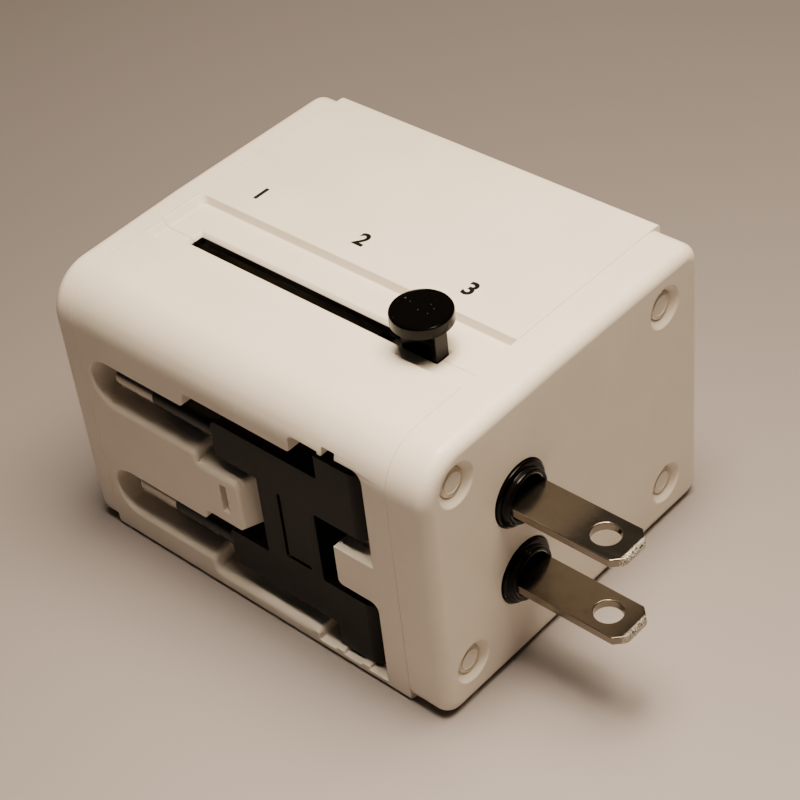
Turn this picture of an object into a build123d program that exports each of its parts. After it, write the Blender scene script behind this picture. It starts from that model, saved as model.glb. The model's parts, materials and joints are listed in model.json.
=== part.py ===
"""Universal travel adapter with a slider for three plugs, an outlet and two USB ports.

Frame: millimetres, +Z up, origin at the centre of the case's base.
+X is the side of the flat blades, -Y the side with the folding round-pin plug,
+Y the side with the outlet, and the slider's knob stands on top.
"""
from build123d import *
import os

# Case
LENGTH = 63.4
DEPTH = 52.1
HEIGHT = 41.2
WALL = 2.0
PLUG_CAP_DEPTH = 6.0
RECT_CAP_DEPTH = 4.0
CAP_WALL = 2.2
SHOULDER_RADIUS = 6.5
SHOULDER_DROP = 0.6
BODY_EDGE_RADIUS = 0.8
CAP_CORNER_RADIUS = 2.8
CAP_FACE_RADIUS = 1.8
INNER_SHOULDER_RADIUS = 5.0
PARTING_FROM_FRONT = 17.15

# Recess and slot on top
RECESS_DEPTH = 1.04
RECESS_WIDTH = 9.2
RECESS_FROM_FRONT = 13.95
RECESS_STEP_SLOPE = 0.8
RECESS_END_LIP = 1.4
RECESS_CORNER_RADIUS = 1.2
SLOT_WIDTH = 2.4
SLOT_BEVEL = 0.5
KNOB_STEP = 17.6
STEM_LENGTH = 5.5
STEM_CLEARANCE = 0.1
STEM_TO_PLUG_FACE = 11.7

# Knob
KNOB_DIAMETER = 7.8
KNOB_THICKNESS = 1.9
KNOB_TOP_ABOVE_PANEL = 5.1

# Flat blades and their rotors
BLADE_FROM_FRONT = 15.95
BLADE_CENTRE_HEIGHT = 19.9
BLADE_SPACING = 12.7
BLADE_WIDTH = 6.35
BLADE_THICKNESS = 1.2
BLADE_REACH = 16.9
BLADE_HOLE_DIAMETER = 3.7
BLADE_HOLE_FROM_TIP = 4.35
BLADE_TIP_CUT = 1.5
BLADE_TIP_BEVEL = 0.3
BLADE_ROOT = 12.3
ROTOR_FLANGE_DIAMETER = 8.8
ROTOR_FLANGE_PROUD = 0.4
ROTOR_RIM_DIAMETER = 7.4
ROTOR_RIM_PROUD = 1.3
ROTOR_CUP_DIAMETER = 6.1
ROTOR_CUP_DEPTH = 2.4
ROTOR_JOURNAL_DIAMETER = 7.6
ROTOR_COLLAR_DIAMETER = 9.4
ROTOR_COLLAR_WIDTH = 1.5
ROTOR_BACK_WALL = 1.3
ROTOR_HOLE_CLEARANCE = 0.15
RUNNING_CLEARANCE = 0.05
FIXED_CLEARANCE = 0.02

# Rectangular pins
RECT_PIN_SPACING = 22.2
RECT_PIN_WIDTH = 6.35
RECT_PIN_THICKNESS = 4.0
RECT_PIN_REACH = 17.7
RECT_SLEEVE_REACH = 9.0
RECT_SLEEVE_WALL = 0.5
RECT_EARTH_OFFSET = 22.2
RECT_EARTH_WIDTH = 8.0
RECT_EARTH_REACH = 22.7
RECT_PIN_TIP_BEVEL = 0.8
RECT_HOLE_CLEARANCE = 0.25

# Round-pin plug
ROUND_CENTRE_HEIGHT = 17.7
ROUND_PIN_SPACING = 18.6
ROUND_PIN_DIAMETER = 4.0
ROUND_PIN_LENGTH = 19.0
ROUND_SLEEVE_LENGTH = 11.3
ROUND_PIN_CORE_DIAMETER = 3.0
ROUND_PIN_TIP_RADIUS = 1.1
ROUND_PIN_ROOT = 12.0
ROUND_HINGE_TO_PLUG_FACE = 13.0
ROUND_ARM_LENGTH = 23.4
ROUND_ARM_THICKNESS = 5.0
ROUND_BELOW_FACE = 0.85
ROUND_LEG_INNER = 6.2
ROUND_LEG_OUTER = 12.2
ROUND_HUB_INNER = 5.5
ROUND_HUB_OUTER = 15.9
ROUND_BAR_NEAR = 6.7
ROUND_BAR_FAR = 16.4
ROUND_HUB_LENGTH = 5.3
HINGE_PIN_DIAMETER = 2.0
HINGE_PIN_INSET = 0.5
GROOVE_WIDTH = 0.5
GROOVE_DEPTH = 0.35
GROOVE_FOOT = 4.2
ROUND_LEAF = 0.25

# Pocket for the round-pin plug
POCKET_CLEARANCE = 0.4
POCKET_WALL = 1.5
POCKET_FLOOR = 1.6
POCKET_END_CLEARANCE = 2.5
POCKET_SLOT_HALF = 13.0
POCKET_MIDDLE_HALF = 15.3
POCKET_HUB_HALF = 17.9
POCKET_BOTTOM = 1.2
POCKET_HUB_STEP = 11.6
POCKET_MIDDLE_STEP = 30.1
TONGUE_HALF = 5.65
TONGUE_TIP_HALF = 3.95
TONGUE_STEP = 0.4
TONGUE_GAP = 4.0
TONGUE_SLOPE = 2.5
STOP_BLOCK_LENGTH = 6.4
STOP_BLOCK_HALF = 3.1
WEDGE_HEIGHT = 1.3
LEDGE_RADIUS = 0.8
HUB_LEDGE_RADIUS = 0.5
TONGUE_TIP_RADIUS = 0.8
NOTCH_FROM_EDGE = 4.2
NOTCH_WIDTH = 2.0
NOTCH_RISE = 0.85
TOOTH_WIDTH = 0.7
TOOTH_DROP = 0.4
PAD_FROM_EDGE = (8.8, 4.5)
PAD_WIDTH = 1.4
PAD_HEIGHT = 0.5
PAD_DEPTH = 1.2
LATCH_FROM_TIP = 3.4
LATCH_WIDTH = 1.2
LATCH_HALF = 2.1
LATCH_RISE = 0.4
LATCH_DEPTH = 2.5
LATCH_BEVEL = 0.5
POCKET_TO_PLUG_FACE = 9.7

# Screws of the case
SCREW_FROM_FRONT = 5.45
SCREW_FROM_BACK = 7.45
SCREW_LOW = 6.4
SCREW_HIGH = 35.4
SCREW_DIAMETER = 2.2
SCREW_HEAD_DIAMETER = 3.7
SCREW_HEAD_HEIGHT = 1.2
SCREW_LENGTH = 6.4
SCREW_HEAD_DEPTH = 2.0
BOSS_DIAMETER = 6.0
PLUG_DIAMETER = 3.8
PLUG_DEPTH = 0.6
PLUG_LENGTH = 1.3
DIMPLE_DIAMETER = 5.8
DIMPLE_DEPTH = 1.0

# Carriage
CARRIAGE_HALF_HEIGHT = 15.2
CARRIAGE_HALF_DEPTH = 6.0
CARRIAGE_BEHIND_FACE = 2.8
CARRIAGE_LENGTH = 22.8
ARM_HALF_HEIGHT = 3.2
ARM_LENGTH = 8.0
ARM_END_MARGIN = 1.0
PIN_ROOT = 5.4
NECK_HALF_DEPTH = 4.0
STEM_SEAT = 0.4
GUIDE_WIDTH = 2.0
GUIDE_HEIGHT = 3.4
GUIDE_FROM_BLADES = 4.1
GUIDE_CLEARANCE = 0.15
LID_SCREW_FROM_LEFT = 14.5
LID_SCREW_OFFSET = 13.0
LID_SCREW_DIAMETER = 1.8
LID_SCREW_HEAD = 3.2

# Inner frame, rails and wipers
FRAME_FROM_CARRIAGE = 2.0
FRAME_THICKNESS = 1.6
CONTACT_RAIL_THICKNESS = 0.8
CONTACT_RAIL_WIDTH = 4.0
CONTACT_RAIL_OFFSET = 9.0
WIPER_THICKNESS = 0.3
DETENT_TOP = 7.8
DETENT_FROM_LEFT = 14.0

# Fuse
FUSE_DIAMETER = 5.2
FUSE_LENGTH = 20.0
FUSE_CAP = 5.0
FUSE_RIVET = 1.6
FUSE_TO_PLUG_FACE = 13.1
FUSE_HEIGHT = 27.0

# Outlet
OUTLET_TO_PLUG_FACE = 26.0
OUTLET_LINE_HEIGHT = 9.7
OUTLET_HALF_WIDTH = 17.2
OUTLET_BOTTOM = 4.5
OUTLET_TOP = 37.6
OUTLET_PLATE_THICKNESS = 2.5
OUTLET_LEDGE = 1.2
OUTLET_EARTH_RISE = 22.2
OUTLET_ROUND_DIAMETER = 5.2
OUTLET_ROUND_OFFSET = 9.5
OUTLET_WIDE = (7.8, 14.6)
OUTLET_WIDE_HALF = 2.3
OUTLET_NARROW = (5.3, 7.9)
OUTLET_NARROW_HALF = 3.5
OUTLET_EARTH_HALF = 4.3
CONTACT_SHEET = 0.4
CONTACT_REACH = 16.0
CONTACT_GAP_HALF = 2.4

# USB ports and boards
USB_FROM_PIN_FACE = 11.8
USB_PORT_WIDTH = 13.1
USB_PORT_HEIGHT = 5.7
USB_PORT_DEPTH = 13.6
USB_SHEET = 0.35
USB_LOW = 27.3
USB_HIGH = 34.6
USB_TONGUE_HALF = 5.6
USB_TONGUE_LIFT = 0.1
USB_TONGUE_THICKNESS = 1.8
USB_BLOCK_DEPTH = 2.5
USB_CONTACTS = (-3.5, -1.0, 1.0, 3.5)
BOARD_THICKNESS = 1.6
POWER_BOARD_HEIGHT = 3.2
LEAD_DIAMETER = 1.0
LEAD_SIDES = 6

# Places worked out from the sizes above
FACE = LENGTH / 2
RECT_FACE = -LENGTH / 2
FRONT = -DEPTH / 2
BACK = DEPTH / 2
PLUG_SEAM = FACE - PLUG_CAP_DEPTH
RECT_SEAM = RECT_FACE + RECT_CAP_DEPTH
PARTING = FRONT + PARTING_FROM_FRONT
RECESS_FLOOR = HEIGHT - RECESS_DEPTH
RECESS_FRONT = FRONT + RECESS_FROM_FRONT
RECESS_BACK = RECESS_FRONT + RECESS_WIDTH
CEILING = RECESS_FLOOR - 1.6
TRAVEL = 2 * KNOB_STEP
BLADE_Y = FRONT + BLADE_FROM_FRONT
SLOT_Y = PARTING + 0.2
STEM_RIGHT = FACE - STEM_TO_PLUG_FACE
STEM_LEFT = STEM_RIGHT - STEM_LENGTH
HINGE_X = FACE - ROUND_HINGE_TO_PLUG_FACE
ARM_FRONT = FRONT + ROUND_BELOW_FACE
ARM_BACK = ARM_FRONT + ROUND_ARM_THICKNESS
HINGE_Y = (ARM_FRONT + ARM_BACK) / 2
ARM_END = HINGE_X - ROUND_ARM_LENGTH
ROUND_TIP = ARM_END - ROUND_PIN_LENGTH
POCKET_BACK = ARM_BACK + POCKET_CLEARANCE
POCKET_RIGHT = FACE - POCKET_TO_PLUG_FACE
POCKET_LEFT = ROUND_TIP - POCKET_END_CLEARANCE
HUB_STEP_X = POCKET_RIGHT - POCKET_HUB_STEP
MIDDLE_STEP_X = POCKET_RIGHT - POCKET_MIDDLE_STEP
TONGUE_TIP_X = ARM_END + TONGUE_GAP
CARRIAGE_RIGHT = FACE - CARRIAGE_BEHIND_FACE
CARRIAGE_LEFT = CARRIAGE_RIGHT - CARRIAGE_LENGTH
CARRIAGE_BACK = BLADE_Y + CARRIAGE_HALF_DEPTH
CARRIAGE_FRONT = BLADE_Y - CARRIAGE_HALF_DEPTH
CARRIAGE_BOTTOM = BLADE_CENTRE_HEIGHT - CARRIAGE_HALF_HEIGHT
CARRIAGE_TOP = BLADE_CENTRE_HEIGHT + CARRIAGE_HALF_HEIGHT
GUIDE_Y = BLADE_Y - GUIDE_FROM_BLADES
BLADE_ROOT_X = CARRIAGE_RIGHT - BLADE_ROOT
ROTOR_BACK_X = BLADE_ROOT_X - ROTOR_BACK_WALL
LID_SCREW_X = CARRIAGE_LEFT + LID_SCREW_FROM_LEFT
EARTH_Y = BLADE_Y + RECT_EARTH_OFFSET
ARM_END_Y = EARTH_Y + RECT_EARTH_WIDTH / 2 + ARM_END_MARGIN
FRAME_Y = CARRIAGE_BACK + FRAME_FROM_CARRIAGE
FRAME_BACK = FRAME_Y + FRAME_THICKNESS
DETENT_X = CARRIAGE_LEFT + DETENT_FROM_LEFT
FUSE_X = FACE - FUSE_TO_PLUG_FACE
FUSE_Y = FRAME_BACK + FUSE_DIAMETER / 2 + 1.5
OUTLET_X = FACE - OUTLET_TO_PLUG_FACE
USB_X = RECT_FACE + USB_FROM_PIN_FACE
USB_BOARD_Y = BACK - USB_PORT_DEPTH
USB_BLOCK_Y = USB_BOARD_Y + USB_SHEET + USB_BLOCK_DEPTH
BOARD_TOP = POWER_BOARD_HEIGHT + BOARD_THICKNESS
SCREW_PLACES = [
    (FRONT + SCREW_FROM_FRONT, SCREW_LOW),
    (FRONT + SCREW_FROM_FRONT, SCREW_HIGH),
    (BACK - SCREW_FROM_BACK, SCREW_LOW),
    (BACK - SCREW_FROM_BACK, SCREW_HIGH),
]


def span(x0, x1, y0, y1, z0, z1):
    """Box between two corners."""
    box = Box(x1 - x0, y1 - y0, z1 - z0)
    return Pos((x0 + x1) / 2, (y0 + y1) / 2, (z0 + z1) / 2) * box


def rod_x(diameter, x0, x1, y, z):
    """Round bar along X."""
    bar = Rot(0, 90, 0) * Cylinder(diameter / 2, x1 - x0)
    return Pos((x0 + x1) / 2, y, z) * bar


def rod_y(diameter, y0, y1, x, z):
    """Round bar along Y."""
    bar = Rot(90, 0, 0) * Cylinder(diameter / 2, y1 - y0)
    return Pos(x, (y0 + y1) / 2, z) * bar


def rod_z(diameter, z0, z1, x, y):
    """Round bar along Z."""
    return Pos(x, y, (z0 + z1) / 2) * Cylinder(diameter / 2, z1 - z0)


def flat(x0, x1, y0, y1):
    """Rectangle between two corners, in the plane of a sketch."""
    return Pos((x0 + x1) / 2, (y0 + y1) / 2) * Rectangle(x1 - x0, y1 - y0)


def rounded(outline, u, v, radius):
    """Outline with its corner nearest to (u, v) rounded."""
    corner = outline.vertices().sort_by_distance((u, v, 0))[0]
    return fillet(corner, radius)


def section(outline, x0, x1):
    """Outline in Y and Z carried along X."""
    plane = Plane(origin=(x0, 0, 0), x_dir=(0, 1, 0), z_dir=(1, 0, 0))
    return extrude(plane * outline, x1 - x0)


def pressed(outline, y0, y1):
    """Outline in X and Z carried along Y."""
    plane = Plane(origin=(0, y0, 0), x_dir=(1, 0, 0), z_dir=(0, -1, 0))
    return extrude(plane * outline, y0 - y1)


def across_y(outline, y):
    """Outline in X and Z laid in the plane at y."""
    return Plane(origin=(0, y, 0), x_dir=(1, 0, 0), z_dir=(0, -1, 0)) * outline


def case_outline(base_radius, back_radius):
    """Outside of the case across its length: a soft shoulder in front, a flat panel behind."""
    shoulder = HEIGHT - SHOULDER_DROP
    corners = [(FRONT, 0), (FRONT, shoulder), (RECESS_BACK, HEIGHT), (BACK, HEIGHT), (BACK, 0)]
    outline = make_face(Polyline(*corners, close=True))
    outline = rounded(outline, FRONT, shoulder, SHOULDER_RADIUS)
    outline = rounded(outline, BACK, HEIGHT, back_radius)
    outline = rounded(outline, FRONT, 0, base_radius)
    return rounded(outline, BACK, 0, base_radius)


def cavity_outline():
    """Inside of the case across its length."""
    outline = flat(FRONT + WALL, BACK - WALL, WALL, CEILING)
    return rounded(outline, FRONT + WALL, CEILING, INNER_SHOULDER_RADIUS)


def recess():
    """Sunk strip on top with a sloping step up to the panel and a sloping left end."""
    left = RECT_SEAM + RECESS_END_LIP
    slope = RECESS_STEP_SLOPE
    floor = flat(left + slope, PLUG_SEAM, RECESS_FRONT, RECESS_BACK - slope)
    floor = rounded(floor, left + slope, RECESS_BACK - slope, RECESS_CORNER_RADIUS - slope / 2)
    mouth = flat(left, PLUG_SEAM, RECESS_FRONT, RECESS_BACK)
    mouth = rounded(mouth, left, RECESS_BACK, RECESS_CORNER_RADIUS)
    low = Pos(0, 0, RECESS_FLOOR) * floor
    high = Pos(0, 0, HEIGHT) * mouth
    return loft([low, high]) + extrude(high, 1)


def slot():
    """Slot for the knob's stem, with a bevelled mouth."""
    left = STEM_LEFT - TRAVEL - STEM_CLEARANCE
    right = STEM_RIGHT + STEM_CLEARANCE
    half = SLOT_WIDTH / 2
    through = span(left, right, SLOT_Y - half, SLOT_Y + half, CEILING - 1, HEIGHT)
    inner = flat(left, right, SLOT_Y - half, SLOT_Y + half)
    outer = flat(left - SLOT_BEVEL, right, SLOT_Y - half, SLOT_Y + half + SLOT_BEVEL)
    low = Pos(0, 0, RECESS_FLOOR - SLOT_BEVEL) * inner
    mouth = Pos(0, 0, RECESS_FLOOR) * outer
    return through + loft([low, mouth])


def pocket_outline():
    """Mouth of the round-pin plug's pocket: two pin slots, a finger tongue and a stop block."""
    mid = ROUND_CENTRE_HEIGHT
    right = POCKET_RIGHT
    slot_radius = (POCKET_SLOT_HALF - TONGUE_HALF) / 2
    slot_centre = (POCKET_SLOT_HALF + TONGUE_HALF) / 2
    slot_x = POCKET_LEFT + slot_radius
    outline = flat(slot_x, right, mid - POCKET_SLOT_HALF, mid + POCKET_SLOT_HALF)
    for side in (-1, 1):
        outline += Pos(slot_x, mid + side * slot_centre) * Circle(slot_radius)
    outline += flat(MIDDLE_STEP_X, right, mid - POCKET_MIDDLE_HALF, mid + POCKET_MIDDLE_HALF)
    top = mid + POCKET_HUB_HALF
    outline += flat(HUB_STEP_X, right, POCKET_BOTTOM, top)
    notch_x = right - NOTCH_FROM_EDGE - NOTCH_WIDTH
    outline += flat(notch_x, notch_x + NOTCH_WIDTH, mid, top + NOTCH_RISE)
    outline -= flat(notch_x - TOOTH_WIDTH, notch_x, top - TOOTH_DROP, HEIGHT)
    step = MIDDLE_STEP_X + TONGUE_STEP
    outline -= flat(POCKET_LEFT - 1, step, mid - TONGUE_HALF, mid + TONGUE_HALF)
    outline -= flat(step, TONGUE_TIP_X, mid - TONGUE_TIP_HALF, mid + TONGUE_TIP_HALF)
    block_x = right - STOP_BLOCK_LENGTH
    outline -= flat(block_x, right + 1, mid - STOP_BLOCK_HALF, mid + STOP_BLOCK_HALF)
    outline = rounded(outline, block_x, mid - STOP_BLOCK_HALF, 0.8)
    outline = rounded(outline, right, mid - STOP_BLOCK_HALF, 1.2)
    outline = rounded(outline, right, top, 1.4)
    outline = rounded(outline, HUB_STEP_X, top, LEDGE_RADIUS)
    outline = rounded(outline, MIDDLE_STEP_X, mid - POCKET_MIDDLE_HALF, LEDGE_RADIUS)
    outline = rounded(outline, MIDDLE_STEP_X, mid + POCKET_MIDDLE_HALF, LEDGE_RADIUS)
    for side in (-1, 1):
        outline = rounded(outline, HUB_STEP_X, mid + side * POCKET_MIDDLE_HALF, HUB_LEDGE_RADIUS)
        outline = rounded(outline, MIDDLE_STEP_X, mid + side * POCKET_SLOT_HALF, LEDGE_RADIUS)
        outline = rounded(outline, step, mid + side * TONGUE_HALF, LEDGE_RADIUS)
        outline = rounded(outline, TONGUE_TIP_X, mid + side * TONGUE_TIP_HALF, TONGUE_TIP_RADIUS)
    return outline


def pocket_tub():
    """Walls and floor that carry the pocket, before its hollow is cut."""
    top = ROUND_CENTRE_HEIGHT + POCKET_HUB_HALF + POCKET_WALL
    slot_top = ROUND_CENTRE_HEIGHT + POCKET_MIDDLE_HALF + POCKET_WALL
    back = POCKET_BACK + POCKET_FLOOR
    left = POCKET_LEFT - POCKET_WALL / 2
    tub = span(left, HUB_STEP_X - POCKET_WALL, FRONT, back, 0, slot_top)
    return tub + span(HUB_STEP_X - POCKET_WALL, POCKET_RIGHT + POCKET_WALL, FRONT, back, 0, top)


def sloping_floor(x0, x1, z):
    """Floor of a pin slot, which rises with the pocket's depth."""
    low = z - WEDGE_HEIGHT
    high = z + WEDGE_HEIGHT
    profile = Polyline((FRONT, low), (FRONT, z), (POCKET_BACK, high), (POCKET_BACK, low), close=True)
    return section(make_face(profile), x0, x1)


def ledge(x1, z, radius):
    """Sloping floor from the pocket's left end to x1, where its edge is rounded."""
    floor = sloping_floor(POCKET_LEFT, x1, z)
    end = floor.faces().sort_by(Axis.X)[-1]
    return fillet(end.edges().sort_by(Axis.Z)[-1], radius)


def tongue_end():
    """End of the finger tongue, which slopes outwards and upwards with the pocket's depth."""
    tip = TONGUE_TIP_X
    low = ROUND_CENTRE_HEIGHT - TONGUE_TIP_HALF
    top = ROUND_CENTRE_HEIGHT + TONGUE_TIP_HALF
    near = across_y(flat(tip - 2, tip, low, top), FRONT)
    far = across_y(flat(tip - 2, tip + TONGUE_SLOPE, low, top + WEDGE_HEIGHT), POCKET_BACK)
    end = loft([near, far])
    slanted = end.faces().sort_by(Axis.X)[-1].edges().sort_by(Axis.Z)
    return fillet([slanted[0], slanted[-1]], TONGUE_TIP_RADIUS)


def pocket_hollow():
    """Space cut out of the tub, less the tongue's sloping end, the sloping floors and two pads."""
    mid = ROUND_CENTRE_HEIGHT
    hollow = pressed(pocket_outline(), FRONT - 1, POCKET_BACK)
    hollow -= tongue_end()
    hollow -= ledge(MIDDLE_STEP_X, mid - POCKET_SLOT_HALF, LEDGE_RADIUS)
    hollow -= ledge(HUB_STEP_X, mid - POCKET_MIDDLE_HALF, HUB_LEDGE_RADIUS)
    hollow -= ledge(MIDDLE_STEP_X + TONGUE_STEP, mid + TONGUE_HALF, LEDGE_RADIUS)
    hollow -= sloping_floor(POCKET_LEFT, TONGUE_TIP_X - 1, mid + TONGUE_TIP_HALF)
    for offset in PAD_FROM_EDGE:
        x = POCKET_RIGHT - offset
        pad_top = POCKET_BOTTOM + PAD_HEIGHT
        hollow -= span(x, x + PAD_WIDTH, FRONT, FRONT + PAD_DEPTH, POCKET_BOTTOM, pad_top)
    return hollow


def screw_boss(y, z):
    """Boss of a shell that takes a case screw, with its pilot hole."""
    boss = rod_x(BOSS_DIAMETER, POCKET_RIGHT, PLUG_SEAM, y, z)
    wall_y = FRONT + WALL if y < 0 else BACK - WALL
    wall_z = WALL if z < HEIGHT / 2 else CEILING
    web_y = sorted((y, wall_y))
    web_z = sorted((z, wall_z))
    boss += span(POCKET_RIGHT, PLUG_SEAM, web_y[0], web_y[1], z - 1, z + 1)
    boss += span(POCKET_RIGHT, PLUG_SEAM, y - 1, y + 1, web_z[0], web_z[1])
    return boss


def screw_pilot(y, z):
    """Hole that a case screw cuts its thread into."""
    tip = FACE - SCREW_HEAD_DEPTH - SCREW_LENGTH - 0.3
    return rod_x(SCREW_DIAMETER + 2 * FIXED_CLEARANCE, tip, PLUG_SEAM + 1, y, z)


def shell_blank():
    """Both halves of the case in one, hollow, with the recess and slot cut."""
    outside = section(case_outline(BODY_EDGE_RADIUS, BODY_EDGE_RADIUS), RECT_SEAM, PLUG_SEAM)
    blank = outside - section(cavity_outline(), RECT_SEAM - 1, PLUG_SEAM + 1)
    return outside, blank


def front_shell():
    """Front half of the case with the round-pin plug's pocket."""
    outside, blank = shell_blank()
    keep = span(RECT_FACE, FACE, FRONT - 1, PARTING, -1, HEIGHT + 2)
    shell = blank & keep
    shell += pocket_tub() & outside
    for y, z in SCREW_PLACES[:2]:
        shell += screw_boss(y, z) & outside
    guide_top = WALL + GUIDE_HEIGHT
    shell += span(RECT_SEAM + 2, PLUG_SEAM - 2, GUIDE_Y, GUIDE_Y + GUIDE_WIDTH, WALL - 0.5, guide_top)
    shell -= pocket_hollow()
    shell -= recess()
    shell -= slot()
    for y, z in SCREW_PLACES[:2]:
        shell -= screw_pilot(y, z)
    shell -= hinge_bore(HINGE_PIN_DIAMETER + 2 * FIXED_CLEARANCE)
    shell -= latch_hole()
    for z in round_heights():
        shell -= round_contact_tail(z, FIXED_CLEARANCE)
    return shell


def hinge_bore(diameter):
    """Room for the hinge pin, from under the lower hub to above the upper one."""
    low = POCKET_BOTTOM - HINGE_PIN_INSET - 0.1
    top = ROUND_CENTRE_HEIGHT + POCKET_HUB_HALF + HINGE_PIN_INSET + 0.1
    return rod_z(diameter, low, top, HINGE_X, HINGE_Y)


def latch_hole():
    """Small rectangular hole in the finger tongue, with a sloping foot."""
    x = TONGUE_TIP_X - LATCH_FROM_TIP
    low = ROUND_CENTRE_HEIGHT + LATCH_RISE - LATCH_HALF
    hole = span(x, x + LATCH_WIDTH, FRONT - 1, FRONT + LATCH_DEPTH, low, low + 2 * LATCH_HALF)
    foot = Polyline((FRONT, low - LATCH_BEVEL), (FRONT, low), (FRONT + 2 * LATCH_BEVEL, low), close=True)
    return hole + section(make_face(foot), x, x + LATCH_WIDTH)


def back_shell():
    """Back half of the case with the outlet's opening and the USB mouths."""
    outside, blank = shell_blank()
    keep = span(RECT_FACE, FACE, PARTING, BACK + 1, -1, HEIGHT + 2)
    shell = blank & keep
    for y, z in SCREW_PLACES[2:]:
        shell += screw_boss(y, z) & outside
    shell += board_posts()
    ledge = OUTLET_LEDGE
    x0 = OUTLET_X - OUTLET_HALF_WIDTH
    x1 = OUTLET_X + OUTLET_HALF_WIDTH
    inside = BACK - OUTLET_PLATE_THICKNESS
    low, top = OUTLET_BOTTOM, OUTLET_TOP
    shell += span(x0 - ledge, x1 + ledge, inside - ledge, BACK - WALL, low - ledge, top + ledge) & outside
    shell -= span(x0, x1, inside, BACK + 1, low, top)
    shell -= span(x0 + ledge, x1 - ledge, inside - 3, BACK, low + ledge, top - ledge)
    half_width = USB_PORT_WIDTH / 2 + GUIDE_CLEARANCE
    half_height = USB_PORT_HEIGHT / 2 + GUIDE_CLEARANCE
    for z in (USB_LOW, USB_HIGH):
        x0, x1 = USB_X - half_width, USB_X + half_width
        shell -= span(x0, x1, BACK - 5, BACK + 1, z - half_height, z + half_height)
    shell -= recess()
    shell -= slot()
    for y, z in SCREW_PLACES[2:]:
        shell -= screw_pilot(y, z)
    return shell


def board_posts():
    """Posts under the power board."""
    posts = []
    for x in (-25.5, -11.5):
        for y in (1.5, 18.5):
            posts.append(rod_z(3.0, WALL - 0.5, POWER_BOARD_HEIGHT, x, y))
    return posts[0] + posts[1] + posts[2] + posts[3]


def cap_tabs(seam, towards):
    """Tabs that hold a cap inside the shells; towards is the way they reach in."""
    tip = seam + towards * 1.5
    root = seam - towards * 1.0
    x0, x1 = sorted((tip, root))
    gap = GUIDE_CLEARANCE
    floor = span(x0, x1, PARTING - 3, PARTING + 4, WALL + gap, WALL + gap + 1)
    roof = span(x0, x1, 1, 9, CEILING - gap - 1, CEILING - gap)
    back = span(x0, x1, BACK - WALL - gap - 1, BACK - WALL - gap, 10, 19)
    return floor + roof + back


def cap_blank(seam, face):
    """Cap of the case: the outline with a rounded outer edge, hollow behind, with its tabs."""
    outwards = 1 if face > seam else -1
    x0, x1 = sorted((seam, face))
    cap = section(case_outline(CAP_CORNER_RADIUS, CAP_CORNER_RADIUS), x0, x1)
    ordered = cap.faces().sort_by(Axis.X)
    outer = ordered[-1] if outwards > 0 else ordered[0]
    cap = fillet(outer.edges(), CAP_FACE_RADIUS)
    hollow = rounded(cavity_outline(), BACK - WALL, CEILING, 1.5)
    a0, a1 = sorted((seam, face - outwards * CAP_WALL))
    cut0, cut1 = sorted((seam - outwards, face - outwards * CAP_WALL))
    cap -= section(hollow, cut0, cut1)
    web = span(a0, a1, PARTING + 1, PARTING + 2, WALL - 0.5, WALL + 1.15)
    web += span(a0, a1, 3, 4, CEILING - 1.15, CEILING + 0.5)
    web += span(a0, a1, BACK - WALL - 1.15, BACK - WALL + 0.5, 14, 15)
    return cap + web + cap_tabs(seam, -outwards)


def plug_end_cap():
    """Cap with the flat blades' holes, four sunk screw holes and their columns."""
    cap = cap_blank(PLUG_SEAM, FACE)
    for y, z in SCREW_PLACES:
        cap += rod_x(BOSS_DIAMETER, PLUG_SEAM, FACE - 1, y, z)
    for y, z in SCREW_PLACES:
        seat = FACE - SCREW_HEAD_DEPTH - SCREW_HEAD_HEIGHT
        cap -= rod_x(PLUG_DIAMETER + 2 * FIXED_CLEARANCE, seat, FACE + 1, y, z)
        cap -= rod_x(SCREW_DIAMETER + 0.3, PLUG_SEAM - 1, seat + 1, y, z)
        sink = Cone(PLUG_DIAMETER / 2, DIMPLE_DIAMETER / 2, DIMPLE_DEPTH)
        cap -= Pos(FACE - DIMPLE_DEPTH / 2, y, z) * (Rot(0, 90, 0) * sink)
    for z in blade_heights():
        hole = ROTOR_FLANGE_DIAMETER + 2 * ROTOR_HOLE_CLEARANCE
        cap -= rod_x(hole, FACE - CAP_WALL - 1, FACE + 1, BLADE_Y, z)
    return cap


def rect_pin_end_cap():
    """Cap with the three rectangular pins' holes."""
    cap = cap_blank(RECT_SEAM, RECT_FACE)
    gap = RECT_HOLE_CLEARANCE
    inner = RECT_FACE + CAP_WALL
    for z in rect_heights():
        half_y = RECT_PIN_THICKNESS / 2 + gap
        half_z = RECT_PIN_WIDTH / 2 + gap
        cap -= span(RECT_FACE - 1, inner + 1, BLADE_Y - half_y, BLADE_Y + half_y, z - half_z, z + half_z)
    half_y = RECT_EARTH_WIDTH / 2 + gap
    half_z = RECT_PIN_THICKNESS / 2 + gap
    mid = BLADE_CENTRE_HEIGHT
    cap -= span(RECT_FACE - 1, inner + 1, EARTH_Y - half_y, EARTH_Y + half_y, mid - half_z, mid + half_z)
    return cap


def blade_heights():
    """Heights of the lower and the upper flat blade."""
    half = BLADE_SPACING / 2
    return BLADE_CENTRE_HEIGHT - half, BLADE_CENTRE_HEIGHT + half


def rect_heights():
    """Heights of the neutral and the line pin."""
    half = RECT_PIN_SPACING / 2
    return BLADE_CENTRE_HEIGHT - half, BLADE_CENTRE_HEIGHT + half


def round_heights():
    """Heights of the lower and the upper round pin."""
    half = ROUND_PIN_SPACING / 2
    return ROUND_CENTRE_HEIGHT - half, ROUND_CENTRE_HEIGHT + half


def screw_plugs():
    """Four white plugs that close the screw holes."""
    plugs = []
    for y, z in SCREW_PLACES:
        end = FACE - PLUG_DEPTH
        plugs.append(rod_x(PLUG_DIAMETER, end - PLUG_LENGTH, end, y, z))
    return Compound(children=plugs)


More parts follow.
